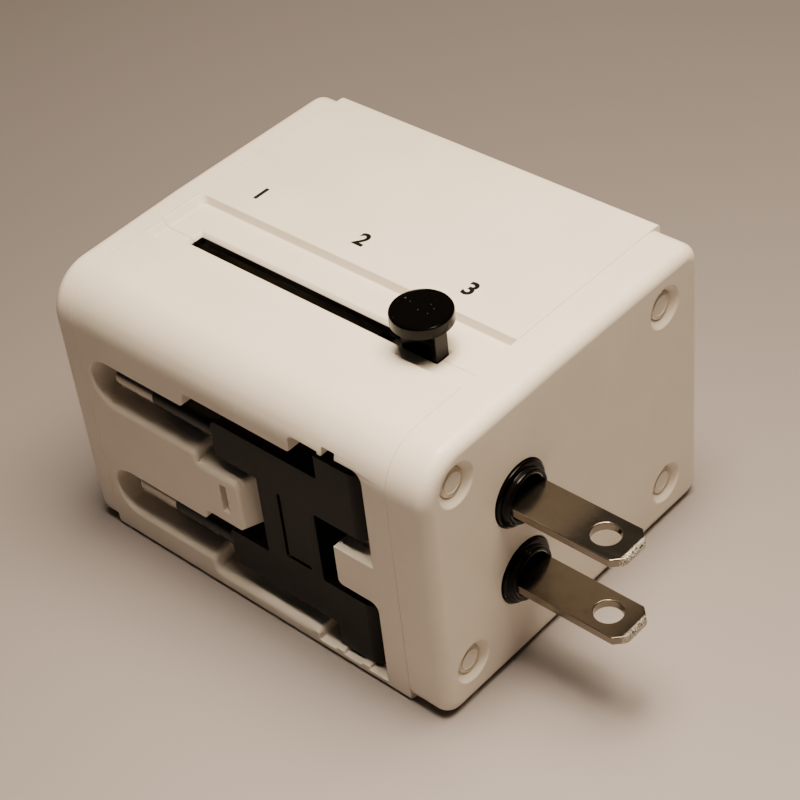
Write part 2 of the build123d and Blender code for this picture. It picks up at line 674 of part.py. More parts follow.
def case_screws():
    """Four self-tapping screws that hold the plug end cap to the shells."""
    screws = []
    head_top = FACE - SCREW_HEAD_DEPTH
    for y, z in SCREW_PLACES:
        head = rod_x(SCREW_HEAD_DIAMETER, head_top - SCREW_HEAD_HEIGHT, head_top, y, z)
        slot_cut = span(head_top - 0.5, head_top + 1, y - 0.3, y + 0.3, z - 1.3, z + 1.3)
        shank = rod_x(SCREW_DIAMETER, head_top - SCREW_LENGTH, head_top - SCREW_HEAD_HEIGHT, y, z)
        screws.append(head - slot_cut + shank)
    return Compound(children=screws)


def slider_knob():
    """Round button on a flat stem that reaches down into the carriage."""
    top = HEIGHT + KNOB_TOP_ABOVE_PANEL
    x = (STEM_LEFT + STEM_RIGHT) / 2
    disc = rod_z(KNOB_DIAMETER, top - KNOB_THICKNESS, top, x, SLOT_Y)
    disc = fillet(disc.faces().sort_by(Axis.Z)[-1].edges(), 0.35)
    disc = chamfer(disc.faces().sort_by(Axis.Z)[0].edges(), 0.3)
    half = SLOT_WIDTH / 2 - STEM_CLEARANCE
    stem = span(STEM_LEFT, STEM_RIGHT, SLOT_Y - half, SLOT_Y + half, CARRIAGE_TOP + 0.4, top - 1)
    return disc + stem


def blade(z):
    """Flat blade with its hole, cornered tip and root in the rotor."""
    tip = FACE + BLADE_REACH
    half_y = BLADE_WIDTH / 2
    half_z = BLADE_THICKNESS / 2
    body = span(BLADE_ROOT_X, tip, BLADE_Y - half_y, BLADE_Y + half_y, z - half_z, z + half_z)
    corners = body.edges().filter_by(Axis.Z).group_by(Axis.X)[-1]
    body = chamfer(corners, BLADE_TIP_CUT)
    body -= rod_z(BLADE_HOLE_DIAMETER, z - 2, z + 2, tip - BLADE_HOLE_FROM_TIP, BLADE_Y)
    tip_edges = body.faces().sort_by(Axis.X)[-1].edges().filter_by(Axis.Y)
    return chamfer(tip_edges, BLADE_TIP_BEVEL)


def rotor(z):
    """Round rotor that holds a blade: flange and slotted cup in front, journal, and a collar behind."""
    front = FACE + ROTOR_FLANGE_PROUD
    rim = FACE + ROTOR_RIM_PROUD
    back = ROTOR_BACK_X
    flange = rod_x(ROTOR_FLANGE_DIAMETER, CARRIAGE_RIGHT + 0.1, front, BLADE_Y, z)
    flange = chamfer(flange.faces().sort_by(Axis.X)[-1].edges(), 0.2)
    ring = rod_x(ROTOR_RIM_DIAMETER, front - 1, rim, BLADE_Y, z)
    ring = chamfer(ring.faces().sort_by(Axis.X)[-1].edges(), 0.25)
    journal = rod_x(ROTOR_JOURNAL_DIAMETER, back, CARRIAGE_RIGHT + 0.2, BLADE_Y, z)
    collar = rod_x(ROTOR_COLLAR_DIAMETER, back, back + ROTOR_COLLAR_WIDTH, BLADE_Y, z)
    body = flange + ring + journal + collar
    body -= rod_x(ROTOR_CUP_DIAMETER, rim - ROTOR_CUP_DEPTH, rim + 1, BLADE_Y, z)
    half_y = BLADE_WIDTH / 2 + FIXED_CLEARANCE
    half_z = BLADE_THICKNESS / 2 + FIXED_CLEARANCE
    root = BLADE_ROOT_X - FIXED_CLEARANCE
    body -= span(root, rim + 1, BLADE_Y - half_y, BLADE_Y + half_y, z - half_z, z + half_z)
    return body - span(front, rim + 1, BLADE_Y - 5, BLADE_Y + 5, z - half_z, z + half_z)


def carriage_blank():
    """Carriage and lid in one: block, neck under the slot and earth arm, less all that they hold."""
    mid = BLADE_CENTRE_HEIGHT
    block = span(CARRIAGE_LEFT, CARRIAGE_RIGHT, CARRIAGE_FRONT, CARRIAGE_BACK, CARRIAGE_BOTTOM, CARRIAGE_TOP)
    block = fillet(block.edges().filter_by(Axis.X), 1.0)
    neck_y = (SLOT_Y - NECK_HALF_DEPTH, SLOT_Y + NECK_HALF_DEPTH)
    block += span(STEM_LEFT - 3, STEM_RIGHT + 2, *neck_y, CARRIAGE_TOP - 1, CEILING - GUIDE_CLEARANCE)
    half = ARM_HALF_HEIGHT
    block += span(CARRIAGE_LEFT, CARRIAGE_LEFT + ARM_LENGTH, BLADE_Y, ARM_END_Y, mid - half, mid + half)
    for z in blade_heights():
        block -= rotor_seat(z)
    for z in rect_heights():
        block -= pin_seat(BLADE_Y, RECT_PIN_THICKNESS, z, RECT_PIN_WIDTH)
    block -= pin_seat(EARTH_Y, RECT_EARTH_WIDTH, mid, RECT_PIN_THICKNESS)
    stem_half = SLOT_WIDTH / 2 - STEM_CLEARANCE + FIXED_CLEARANCE
    x0, x1 = STEM_LEFT - FIXED_CLEARANCE, STEM_RIGHT + FIXED_CLEARANCE
    seat = CARRIAGE_TOP + STEM_SEAT - FIXED_CLEARANCE
    block -= span(x0, x1, SLOT_Y - stem_half, SLOT_Y + stem_half, seat, CEILING)
    groove_y = (GUIDE_Y - GUIDE_CLEARANCE, GUIDE_Y + GUIDE_WIDTH + GUIDE_CLEARANCE)
    groove_top = WALL + GUIDE_HEIGHT + GUIDE_CLEARANCE
    block -= span(CARRIAGE_LEFT - 1, CARRIAGE_RIGHT + 1, *groove_y, CARRIAGE_BOTTOM - 1, groove_top)
    for z in lid_screw_heights():
        bore = LID_SCREW_DIAMETER + 2 * FIXED_CLEARANCE
        block -= rod_y(bore, BLADE_Y - 5, BLADE_Y + 4.4, LID_SCREW_X, z)
        block -= rod_y(LID_SCREW_HEAD + 0.2, CARRIAGE_FRONT - 1, CARRIAGE_FRONT + 1.6, LID_SCREW_X, z)
    return block


def rotor_seat(z):
    """Bore for a rotor's journal, with the groove for its collar."""
    bore = ROTOR_JOURNAL_DIAMETER + 2 * RUNNING_CLEARANCE
    groove = ROTOR_COLLAR_DIAMETER + 0.3
    seat = rod_x(bore, ROTOR_BACK_X - 0.2, CARRIAGE_RIGHT + 1, BLADE_Y, z)
    return seat + rod_x(groove, ROTOR_BACK_X - 0.1, ROTOR_BACK_X + ROTOR_COLLAR_WIDTH + 0.1, BLADE_Y, z)


def pin_seat(y, size_y, z, size_z):
    """Blind seat for the root of a rectangular pin."""
    half_y = size_y / 2 + FIXED_CLEARANCE
    half_z = size_z / 2 + FIXED_CLEARANCE
    end = CARRIAGE_LEFT + PIN_ROOT + FIXED_CLEARANCE
    return span(CARRIAGE_LEFT - 1, end, y - half_y, y + half_y, z - half_z, z + half_z)


def lid_screw_heights():
    """Heights of the two screws that hold the lid on the carriage."""
    return BLADE_CENTRE_HEIGHT - LID_SCREW_OFFSET, BLADE_CENTRE_HEIGHT + LID_SCREW_OFFSET


def plug_carriage():
    """Back half of the carriage, with the earth arm and the neck."""
    keep = span(RECT_FACE, FACE, BLADE_Y, BACK, -1, HEIGHT)
    return carriage_blank() & keep


def carriage_lid():
    """Front half of the carriage, which clamps pins and rotors."""
    keep = span(RECT_FACE, FACE, FRONT, BLADE_Y, -1, HEIGHT)
    return carriage_blank() & keep


def carriage_screws():
    """Two screws through the lid into the carriage."""
    screws = []
    for z in lid_screw_heights():
        head = rod_y(LID_SCREW_HEAD, CARRIAGE_FRONT + 0.4, CARRIAGE_FRONT + 1.6, LID_SCREW_X, z)
        shank = rod_y(LID_SCREW_DIAMETER, CARRIAGE_FRONT + 1.6, BLADE_Y + 4.2, LID_SCREW_X, z)
        screws.append(head + shank)
    return Compound(children=screws)


def rect_pin(z):
    """Rectangular metal pin, necked where its sleeve sits."""
    root = CARRIAGE_LEFT + PIN_ROOT
    tip = RECT_FACE - RECT_PIN_REACH + TRAVEL
    neck_end = RECT_FACE - RECT_SLEEVE_REACH + TRAVEL
    half_y = RECT_PIN_THICKNESS / 2
    half_z = RECT_PIN_WIDTH / 2
    body = span(tip, neck_end, BLADE_Y - half_y, BLADE_Y + half_y, z - half_z, z + half_z)
    body = chamfer(body.faces().sort_by(Axis.X)[0].edges(), RECT_PIN_TIP_BEVEL)
    half_y -= RECT_SLEEVE_WALL
    half_z -= RECT_SLEEVE_WALL
    return body + span(neck_end, root, BLADE_Y - half_y, BLADE_Y + half_y, z - half_z, z + half_z)


def rect_pin_sleeves():
    """Insulating sleeves round the necks of the line and neutral pins."""
    sleeves = []
    wall = RECT_SLEEVE_WALL - FIXED_CLEARANCE
    for z in rect_heights():
        start = RECT_FACE - RECT_SLEEVE_REACH + TRAVEL
        end = CARRIAGE_LEFT + PIN_ROOT
        half_y = RECT_PIN_THICKNESS / 2
        half_z = RECT_PIN_WIDTH / 2
        tube = span(start, end, BLADE_Y - half_y, BLADE_Y + half_y, z - half_z, z + half_z)
        half_y -= wall
        half_z -= wall
        tube -= span(start - 1, end + 1, BLADE_Y - half_y, BLADE_Y + half_y, z - half_z, z + half_z)
        sleeves.append(tube)
    return Compound(children=sleeves)


def rect_earth_pin():
    """Longer plastic earth pin, which opens a socket's shutters."""
    mid = BLADE_CENTRE_HEIGHT
    tip = RECT_FACE - RECT_EARTH_REACH + TRAVEL
    half_y = RECT_EARTH_WIDTH / 2
    half_z = RECT_PIN_THICKNESS / 2
    body = span(tip, CARRIAGE_LEFT + PIN_ROOT, EARTH_Y - half_y, EARTH_Y + half_y, mid - half_z, mid + half_z)
    return chamfer(body.faces().sort_by(Axis.X)[0].edges(), RECT_PIN_TIP_BEVEL)


def wipers():
    """Two bowed leaves on the carriage's back that slide on the rails."""
    leaves = []
    mid_x = CARRIAGE_LEFT + 12
    rail_face = FRAME_Y - CONTACT_RAIL_THICKNESS
    bow = rail_face - CARRIAGE_BACK - 0.1
    for side in (-1, 1):
        z = BLADE_CENTRE_HEIGHT + side * CONTACT_RAIL_OFFSET
        outer = ThreePointArc((mid_x - 4, 0), (mid_x, bow), (mid_x + 4, 0))
        inner = ThreePointArc((mid_x + 3.4, 0), (mid_x, bow - WIPER_THICKNESS), (mid_x - 3.4, 0))
        left = Line((mid_x - 3.4, 0), (mid_x - 4, 0))
        right = Line((mid_x + 4, 0), (mid_x + 3.4, 0))
        leaf = make_face(outer + right + inner + left)
        leaves.append(extrude(Pos(0, CARRIAGE_BACK, z - 1.5) * leaf, 3.0))
    return Compound(children=leaves)


def detent_leaf():
    """Small bent leaf on the carriage's back that marks the slider's three places."""
    low = DETENT_TOP - 3
    leaf = span(DETENT_X - 3.5, DETENT_X + 3.5, CARRIAGE_BACK, CARRIAGE_BACK + 0.25, low, DETENT_TOP)
    bump = rod_z(3.0, low, DETENT_TOP, DETENT_X, FRAME_Y - 0.1 - 1.5)
    keep = span(DETENT_X - 3, DETENT_X + 3, CARRIAGE_BACK + 0.1, FRAME_Y, low, DETENT_TOP)
    return leaf + (bump & keep)


def round_pin_bracket():
    """H-shaped bracket: two legs with the round pins, a grip bar and two hinge hubs."""
    mid = ROUND_CENTRE_HEIGHT
    bar = HINGE_X - ROUND_BAR_FAR, HINGE_X - ROUND_BAR_NEAR
    outline = flat(*bar, mid - ROUND_LEG_OUTER, mid + ROUND_LEG_OUTER)
    for side in (-1, 1):
        leg = sorted((mid + side * ROUND_LEG_INNER, mid + side * ROUND_LEG_OUTER))
        hub = sorted((mid + side * ROUND_HUB_INNER, mid + side * ROUND_HUB_OUTER))
        link = sorted((mid + side * ROUND_HUB_INNER, mid + side * ROUND_LEG_OUTER))
        outline += flat(ARM_END, HINGE_X - ROUND_BAR_FAR + 1, leg[0], leg[1])
        outline += flat(HINGE_X - ROUND_BAR_NEAR - 1, HINGE_X, link[0], link[1])
        outline += flat(HINGE_X - ROUND_HUB_LENGTH, HINGE_X, hub[0], hub[1])
    for side in (-1, 1):
        outline = rounded(outline, ARM_END, mid + side * ROUND_LEG_INNER, 0.8)
        outline = rounded(outline, ARM_END, mid + side * ROUND_LEG_OUTER, 1.2)
    bracket = pressed(outline, ARM_FRONT, ARM_BACK)
    for side in (-1, 1):
        hub = sorted((mid + side * ROUND_HUB_INNER, mid + side * ROUND_HUB_OUTER))
        bracket += rod_z(ROUND_ARM_THICKNESS, hub[0], hub[1], HINGE_X, HINGE_Y)
    bracket -= hinge_bore(HINGE_PIN_DIAMETER + 2 * RUNNING_CLEARANCE)
    for z in round_heights():
        bore = ROUND_PIN_CORE_DIAMETER + 2 * FIXED_CLEARANCE
        bracket -= rod_x(bore, ARM_END - 1, ARM_END + ROUND_PIN_ROOT + FIXED_CLEARANCE, HINGE_Y, z)
    groove_x = (2 * HINGE_X - ROUND_BAR_FAR - ROUND_BAR_NEAR) / 2 - GROOVE_FOOT / 3
    low = mid - ROUND_HUB_INNER + GROOVE_WIDTH
    depth = ARM_FRONT + GROOVE_DEPTH
    bracket -= span(groove_x, groove_x + GROOVE_WIDTH, ARM_FRONT - 1, depth, low, mid + ROUND_HUB_INNER)
    return bracket - span(groove_x, groove_x + GROOVE_FOOT, ARM_FRONT - 1, depth, low, low + GROOVE_WIDTH)


def round_pin(z):
    """Round pin: full diameter at its tip, a thinner core under the sleeve and in the bracket."""
    neck = ARM_END - ROUND_SLEEVE_LENGTH
    tip = rod_x(ROUND_PIN_DIAMETER, ROUND_TIP, neck, HINGE_Y, z)
    tip = fillet(tip.faces().sort_by(Axis.X)[0].edges(), ROUND_PIN_TIP_RADIUS)
    return tip + rod_x(ROUND_PIN_CORE_DIAMETER, neck, ARM_END + ROUND_PIN_ROOT, HINGE_Y, z)


def round_pin_sleeves():
    """Insulating sleeves round the round pins' cores."""
    sleeves = []
    bore = ROUND_PIN_CORE_DIAMETER + 2 * FIXED_CLEARANCE
    for z in round_heights():
        tube = rod_x(ROUND_PIN_DIAMETER, ARM_END - ROUND_SLEEVE_LENGTH, ARM_END, HINGE_Y, z)
        tube -= rod_x(bore, ARM_END - ROUND_SLEEVE_LENGTH - 1, ARM_END + 1, HINGE_Y, z)
        sleeves.append(tube)
    return Compound(children=sleeves)


def bracket_hinge_pin():
    """Steel pin through the hubs and the stop block."""
    top = ROUND_CENTRE_HEIGHT + POCKET_HUB_HALF + HINGE_PIN_INSET
    return rod_z(HINGE_PIN_DIAMETER, POCKET_BOTTOM - HINGE_PIN_INSET, top, HINGE_X, HINGE_Y)


def round_pin_contacts():
    """Two brass leaves on the pocket's floor, under the hubs."""
    leaves = []
    for z in round_heights():
        leaf = span(HINGE_X - 6, HINGE_X + 2, POCKET_BACK - ROUND_LEAF, POCKET_BACK, z - 2, z + 2)
        leaves.append(leaf + round_contact_tail(z, 0))
    return Compound(children=leaves)


def round_contact_tail(z, gap):
    """Tail of a leaf, which goes through the pocket's floor, made larger all round by gap."""
    x0, x1 = HINGE_X + 1 - gap, HINGE_X + 2 + gap
    y1 = POCKET_BACK + POCKET_FLOOR + 1 + gap
    return span(x0, x1, POCKET_BACK - 0.1, y1, z - 1 - gap, z + 1 + gap)


def inner_frame():
    """Insulating wall between the carriage's chamber and the electronics, with the arm's slot."""
    mid = BLADE_CENTRE_HEIGHT
    x0, x1 = RECT_SEAM + 1.8, PLUG_SEAM - 2.4
    wall = span(x0, x1, FRAME_Y, FRAME_Y + FRAME_THICKNESS, WALL, CEILING)
    slot_end = CARRIAGE_LEFT + ARM_LENGTH + 0.5
    half = ARM_HALF_HEIGHT + 0.5
    wall -= span(x0 - 1, slot_end, FRAME_Y - 1, FRAME_BACK + 1, mid - half, mid + half)
    for step in (0, 1, 2):
        wall -= rod_z(1.4, WALL, DETENT_TOP + 0.6, DETENT_X - step * KNOB_STEP, FRAME_Y - 0.1)
    for z in fuse_clip_heights():
        wall -= rod_y(FUSE_RIVET + 2 * FIXED_CLEARANCE, FRAME_Y - 1, FRAME_BACK + 1, FUSE_X, z)
    return wall


def contact_rail(side):
    """Brass rail on the frame that a wiper slides on; side is 1 for the upper one."""
    z = BLADE_CENTRE_HEIGHT + side * CONTACT_RAIL_OFFSET
    half = CONTACT_RAIL_WIDTH / 2
    x0, x1 = RECT_SEAM + 2, PLUG_SEAM - 3
    return span(x0, x1, FRAME_Y - CONTACT_RAIL_THICKNESS, FRAME_Y, z - half, z + half)


def hole_outline(side):
    """Outlet hole for the line or neutral pin of flat, round and rectangular plugs."""
    x, z = OUTLET_X, OUTLET_LINE_HEIGHT
    wide = sorted(x + side * offset for offset in OUTLET_WIDE)
    narrow = sorted(x + side * offset for offset in OUTLET_NARROW)
    outline = flat(*wide, z - OUTLET_WIDE_HALF, z + OUTLET_WIDE_HALF)
    outline += flat(*narrow, z - OUTLET_NARROW_HALF, z + OUTLET_NARROW_HALF)
    return outline + Pos(x + side * OUTLET_ROUND_OFFSET, z) * Circle(OUTLET_ROUND_DIAMETER / 2)


def socket_plate():
    """Plate of the outlet with its three holes and a shallow rim."""
    x0, x1 = OUTLET_X - OUTLET_HALF_WIDTH, OUTLET_X + OUTLET_HALF_WIDTH
    gap = FIXED_CLEARANCE
    inside = BACK - OUTLET_PLATE_THICKNESS
    plate = span(x0 + gap, x1 - gap, inside, BACK - 0.2, OUTLET_BOTTOM + gap, OUTLET_TOP - gap)
    plate = fillet(plate.edges().filter_by(Axis.Y), 1.0)
    for side in (-1, 1):
        plate -= pressed(hole_outline(side), inside - 1, BACK + 1)
    z = OUTLET_LINE_HEIGHT + OUTLET_EARTH_RISE
    x0, x1 = OUTLET_X - OUTLET_WIDE_HALF, OUTLET_X + OUTLET_WIDE_HALF
    return plate - span(x0, x1, inside - 1, BACK + 1, z - OUTLET_EARTH_HALF, z + OUTLET_EARTH_HALF)


def socket_contact(side):
    """Sheet-brass jaws behind an outlet hole, on the inner frame."""
    x, z, y = OUTLET_X, OUTLET_LINE_HEIGHT, FRAME_BACK
    sheet = CONTACT_SHEET
    reach = y + CONTACT_REACH
    base = sorted((x + side * 4.7, x + side * 14.8))
    jaw = span(*base, y, y + sheet, z - 4.2, z + 4.2)
    wide = sorted((x + side * 8.3, x + side * 14.8))
    for level in (z - CONTACT_GAP_HALF - sheet, z + CONTACT_GAP_HALF):
        jaw += span(*wide, y, reach, level, level + sheet)
    for offset in (5.0, 7.5):
        leaf = sorted((x + side * offset, x + side * (offset + sheet)))
        jaw += span(*leaf, y, reach, z - 3.2, z + 3.2)
    return jaw


def socket_contact_earth():
    """Sheet-brass jaw behind the outlet's earth hole."""
    x, z, y = OUTLET_X, OUTLET_LINE_HEIGHT + OUTLET_EARTH_RISE, FRAME_BACK
    sheet = CONTACT_SHEET
    jaw = span(x - 2.8, x + 2.8, y, y + sheet, z - 4.2, z + 4.2)
    for start in (x - CONTACT_GAP_HALF - sheet, x + CONTACT_GAP_HALF):
        jaw += span(start, start + sheet, y, y + CONTACT_REACH, z - 4.0, z + 4.0)
    return jaw


def usb_board():
    """Upright board that carries the two ports."""
    y1 = USB_BOARD_Y
    return span(RECT_SEAM + 1.8, USB_X + 9.2, y1 - BOARD_THICKNESS, y1, 23.7, CEILING)


def usb_port_shells():
    """Folded sheet shells of the two ports, closed behind."""
    shells = []
    half_width = USB_PORT_WIDTH / 2
    half_height = USB_PORT_HEIGHT / 2
    sheet = USB_SHEET
    for z in (USB_LOW, USB_HIGH):
        x0, x1 = USB_X - half_width, USB_X + half_width
        z0, z1 = z - half_height, z + half_height
        shell = span(x0, x1, USB_BOARD_Y, BACK - 0.2, z0, z1)
        shell -= span(x0 + sheet, x1 - sheet, USB_BOARD_Y + sheet, BACK + 1, z0 + sheet, z1 - sheet)
        shells.append(shell)
    return Compound(children=shells)


def usb_port_tongues():
    """Plastic tongues inside the ports, with the block they grow from."""
    tongues = []
    half_width = USB_PORT_WIDTH / 2 - USB_SHEET - FIXED_CLEARANCE
    half_height = USB_PORT_HEIGHT / 2 - USB_SHEET - FIXED_CLEARANCE
    start = USB_BOARD_Y + USB_SHEET
    for z in (USB_LOW, USB_HIGH):
        x0, x1 = USB_X - half_width, USB_X + half_width
        block = span(x0, x1, start, USB_BLOCK_Y, z - half_height, z + half_height)
        x0, x1 = USB_X - USB_TONGUE_HALF, USB_X + USB_TONGUE_HALF
        low = z + USB_TONGUE_LIFT
        tongues.append(block + span(x0, x1, start, BACK - 1.4, low, low + USB_TONGUE_THICKNESS))
    return Compound(children=tongues)


def usb_contacts():
    """Four contact strips under each port's tongue."""
    strips = []
    for z in (USB_LOW, USB_HIGH):
        top = z + USB_TONGUE_LIFT
        for offset in USB_CONTACTS:
            x = USB_X + offset
            strips.append(span(x - 0.5, x + 0.5, USB_BLOCK_Y, BACK - 2.4, top - 0.15, top))
    return Compound(children=strips)


def power_board():
    """Board of the 5 volt supply."""
    return span(RECT_SEAM + 0.7, OUTLET_X - 15.7, -0.2, 20.2, POWER_BOARD_HEIGHT, BOARD_TOP)


def transformer_core():
    """Ferrite core, a closed frame round the winding's middle."""
    z = BOARD_TOP
    core = span(-25.5, -13.5, 10.5, 16.0, z + 0.6, z + 9.8)
    core -= span(-23.5, -21.0, 10.0, 16.5, z + 2.2, z + 8.2)
    return core - span(-18.0, -15.5, 10.0, 16.5, z + 2.2, z + 8.2)


def transformer_winding():
    """Wound bobbin round the core's middle leg, with its feet on the board."""
    z = BOARD_TOP
    gap = RUNNING_CLEARANCE
    coil = span(-23.5 + gap, -15.5 - gap, 8.6, 17.9, z + 2.2 + gap, z + 8.2 - gap)
    coil -= span(-21.0 - gap, -18.0 + gap, 10.5 - gap, 16.0 + gap, z, z + 10)
    return coil + span(-22, -17, 8.6, 10.0, z, z + 2.6) + span(-22, -17, 16.6, 17.9, z, z + 2.6)


def capacitors():
    """Two standing electrolytic capacitors."""
    cans = []
    for x in (-23.6, -16.6):
        can = rod_z(6.3, BOARD_TOP, BOARD_TOP + 9.0, x, 4.0)
        cans.append(chamfer(can.faces().sort_by(Axis.Z)[-1].edges(), 0.4))
    return Compound(children=cans)


def lead(points):
    """Insulated wire along a path with rounded bends, its round section given flat sides."""
    path = FilletPolyline(*points, radius=0.9)
    start = Plane(origin=path @ 0, z_dir=path % 0)
    return sweep(start * RegularPolygon(LEAD_DIAMETER / 2, LEAD_SIDES), path)


def usb_leads():
    """Two wires from the supply's board up to the ports' board."""
    wires = []
    for x in (USB_X + 7.3, USB_X + 8.5):
        y, top = 18.9, 26.5
        wires.append(lead([(x, y, BOARD_TOP), (x, y, top), (x, USB_BOARD_Y, top)]))
    return Compound(children=wires)


def supply_leads():
    """Two wires from the outlet's line and neutral contacts to the supply's board."""
    start_y = FRAME_BACK + CONTACT_SHEET
    level = OUTLET_LINE_HEIGHT - 3.5
    near, far = OUTLET_X - 14.2, OUTLET_X + 6.4
    board_x = OUTLET_X - 17.1
    short = [(near, start_y, level), (near, 1.7, level), (board_x, 1.7, level + 1), (board_x, 1.7, BOARD_TOP)]
    under = WALL + 0.8
    long = [(far, start_y, level), (far, 4.4, level), (far, 4.4, under), (near + 0.6, 4.4, under)]
    long += [(near + 0.6, 4.4, level), (board_x, 4.4, level), (board_x, 4.4, BOARD_TOP)]
    return Compound(children=[lead(short), lead(long)])


def fuse_clip_heights():
    """Heights of the fuse's lower and upper clip."""
    half = FUSE_LENGTH / 2 - FUSE_CAP / 2
    return FUSE_HEIGHT - half, FUSE_HEIGHT + half


def fuse_tube():
    """Glass tube of the fuse."""
    half = FUSE_LENGTH / 2 - 0.5
    tube = rod_z(FUSE_DIAMETER - 0.4, FUSE_HEIGHT - half, FUSE_HEIGHT + half, FUSE_X, FUSE_Y)
    return tube - rod_z(FUSE_DIAMETER - 1.6, FUSE_HEIGHT - half - 1, FUSE_HEIGHT + half + 1, FUSE_X, FUSE_Y)


def fuse_caps():
    """Metal caps on the fuse's tube, joined by its thin wire."""
    half = FUSE_LENGTH / 2
    bore = FUSE_DIAMETER - 0.4 + 2 * FIXED_CLEARANCE
    body = rod_z(0.4, FUSE_HEIGHT - half + 0.2, FUSE_HEIGHT + half - 0.2, FUSE_X, FUSE_Y)
    low = rod_z(FUSE_DIAMETER, FUSE_HEIGHT - half, FUSE_HEIGHT - half + FUSE_CAP, FUSE_X, FUSE_Y)
    low -= rod_z(bore, FUSE_HEIGHT - half + 0.4, FUSE_HEIGHT, FUSE_X, FUSE_Y)
    high = rod_z(FUSE_DIAMETER, FUSE_HEIGHT + half - FUSE_CAP, FUSE_HEIGHT + half, FUSE_X, FUSE_Y)
    high -= rod_z(bore, FUSE_HEIGHT, FUSE_HEIGHT + half - 0.4, FUSE_X, FUSE_Y)
    return body + low + high


def fuse_clips():
    """Two sprung clips that hold the fuse's caps, riveted to the frame."""
    clips = []
    back = FRAME_BACK
    inner = FUSE_DIAMETER / 2 + FIXED_CLEARANCE
    outer = inner + CONTACT_SHEET
    for z in fuse_clip_heights():
        ring = rod_z(2 * outer, z - 2, z + 2, FUSE_X, FUSE_Y)
        ring += span(FUSE_X - 1.6, FUSE_X + 1.6, back, FUSE_Y - inner, z - 2, z + 2)
        ring -= rod_z(2 * inner, z - 3, z + 3, FUSE_X, FUSE_Y)
        ring -= span(FUSE_X - 1.8, FUSE_X + 1.8, FUSE_Y, FUSE_Y + outer + 1, z - 3, z + 3)
        ring += rod_y(FUSE_RIVET, FRAME_Y - 0.4, back + 0.5, FUSE_X, z)
        clips.append(ring)
    return Compound(children=clips)


PIECES = {
    "front_shell": front_shell,
    "back_shell": back_shell,
    "plug_end_cap": plug_end_cap,
    "rect_pin_end_cap": rect_pin_end_cap,
    "screw_plugs": screw_plugs,
    "case_screws": case_screws,
    "inner_frame": inner_frame,
    "line_rail": lambda: contact_rail(1),
    "neutral_rail": lambda: contact_rail(-1),
    "socket_plate": socket_plate,
    "socket_contact_line": lambda: socket_contact(1),
    "socket_contact_neutral": lambda: socket_contact(-1),
    "socket_contact_earth": socket_contact_earth,
    "usb_board": usb_board,
    "usb_port_shells": usb_port_shells,
    "usb_port_tongues": usb_port_tongues,
    "usb_contacts": usb_contacts,
    "power_board": power_board,
    "transformer_core": transformer_core,
    "transformer_winding": transformer_winding,
    "capacitors": capacitors,
    "usb_leads": usb_leads,
    "supply_leads": supply_leads,
    "fuse_tube": fuse_tube,
    "fuse_caps": fuse_caps,
    "fuse_clips": fuse_clips,
    "bracket_hinge_pin": bracket_hinge_pin,
    "round_pin_contacts": round_pin_contacts,
    "slider_knob": slider_knob,
    "plug_carriage": plug_carriage,
    "carriage_lid": carriage_lid,
    "carriage_screws": carriage_screws,
    "wipers": wipers,
    "detent_leaf": detent_leaf,
    "rect_neutral_pin": lambda: rect_pin(rect_heights()[0]),
    "rect_line_pin": lambda: rect_pin(rect_heights()[1]),
    "rect_pin_sleeves": rect_pin_sleeves,
    "rect_earth_pin": rect_earth_pin,
    "lower_blade": lambda: blade(blade_heights()[0]),
    "upper_blade": lambda: blade(blade_heights()[1]),
    "lower_rotor": lambda: rotor(blade_heights()[0]),
    "upper_rotor": lambda: rotor(blade_heights()[1]),
    "round_pin_bracket": round_pin_bracket,
    "lower_round_pin": lambda: round_pin(round_heights()[0]),
    "upper_round_pin": lambda: round_pin(round_heights()[1]),
    "round_pin_sleeves": round_pin_sleeves,
}


os.makedirs("parts", exist_ok=True)
for name, make in PIECES.items():
    export_step(make(), f"parts/{name}.step")
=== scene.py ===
"""Look of the travel adapter: finishes, finely shaped outer pieces, numbers, studio and camera.

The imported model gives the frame. Each sub-assembly is a class that keeps the nodes whose shape is
right, gives them their finish, and builds the pieces that need rounder edges than the frame's.
"""

import json
import logging
import math
from dataclasses import dataclass, field
from enum import Enum
from typing import Any, Callable, Iterable, Optional, Sequence, Union

import bmesh
import bpy
from mathutils import Matrix, Vector

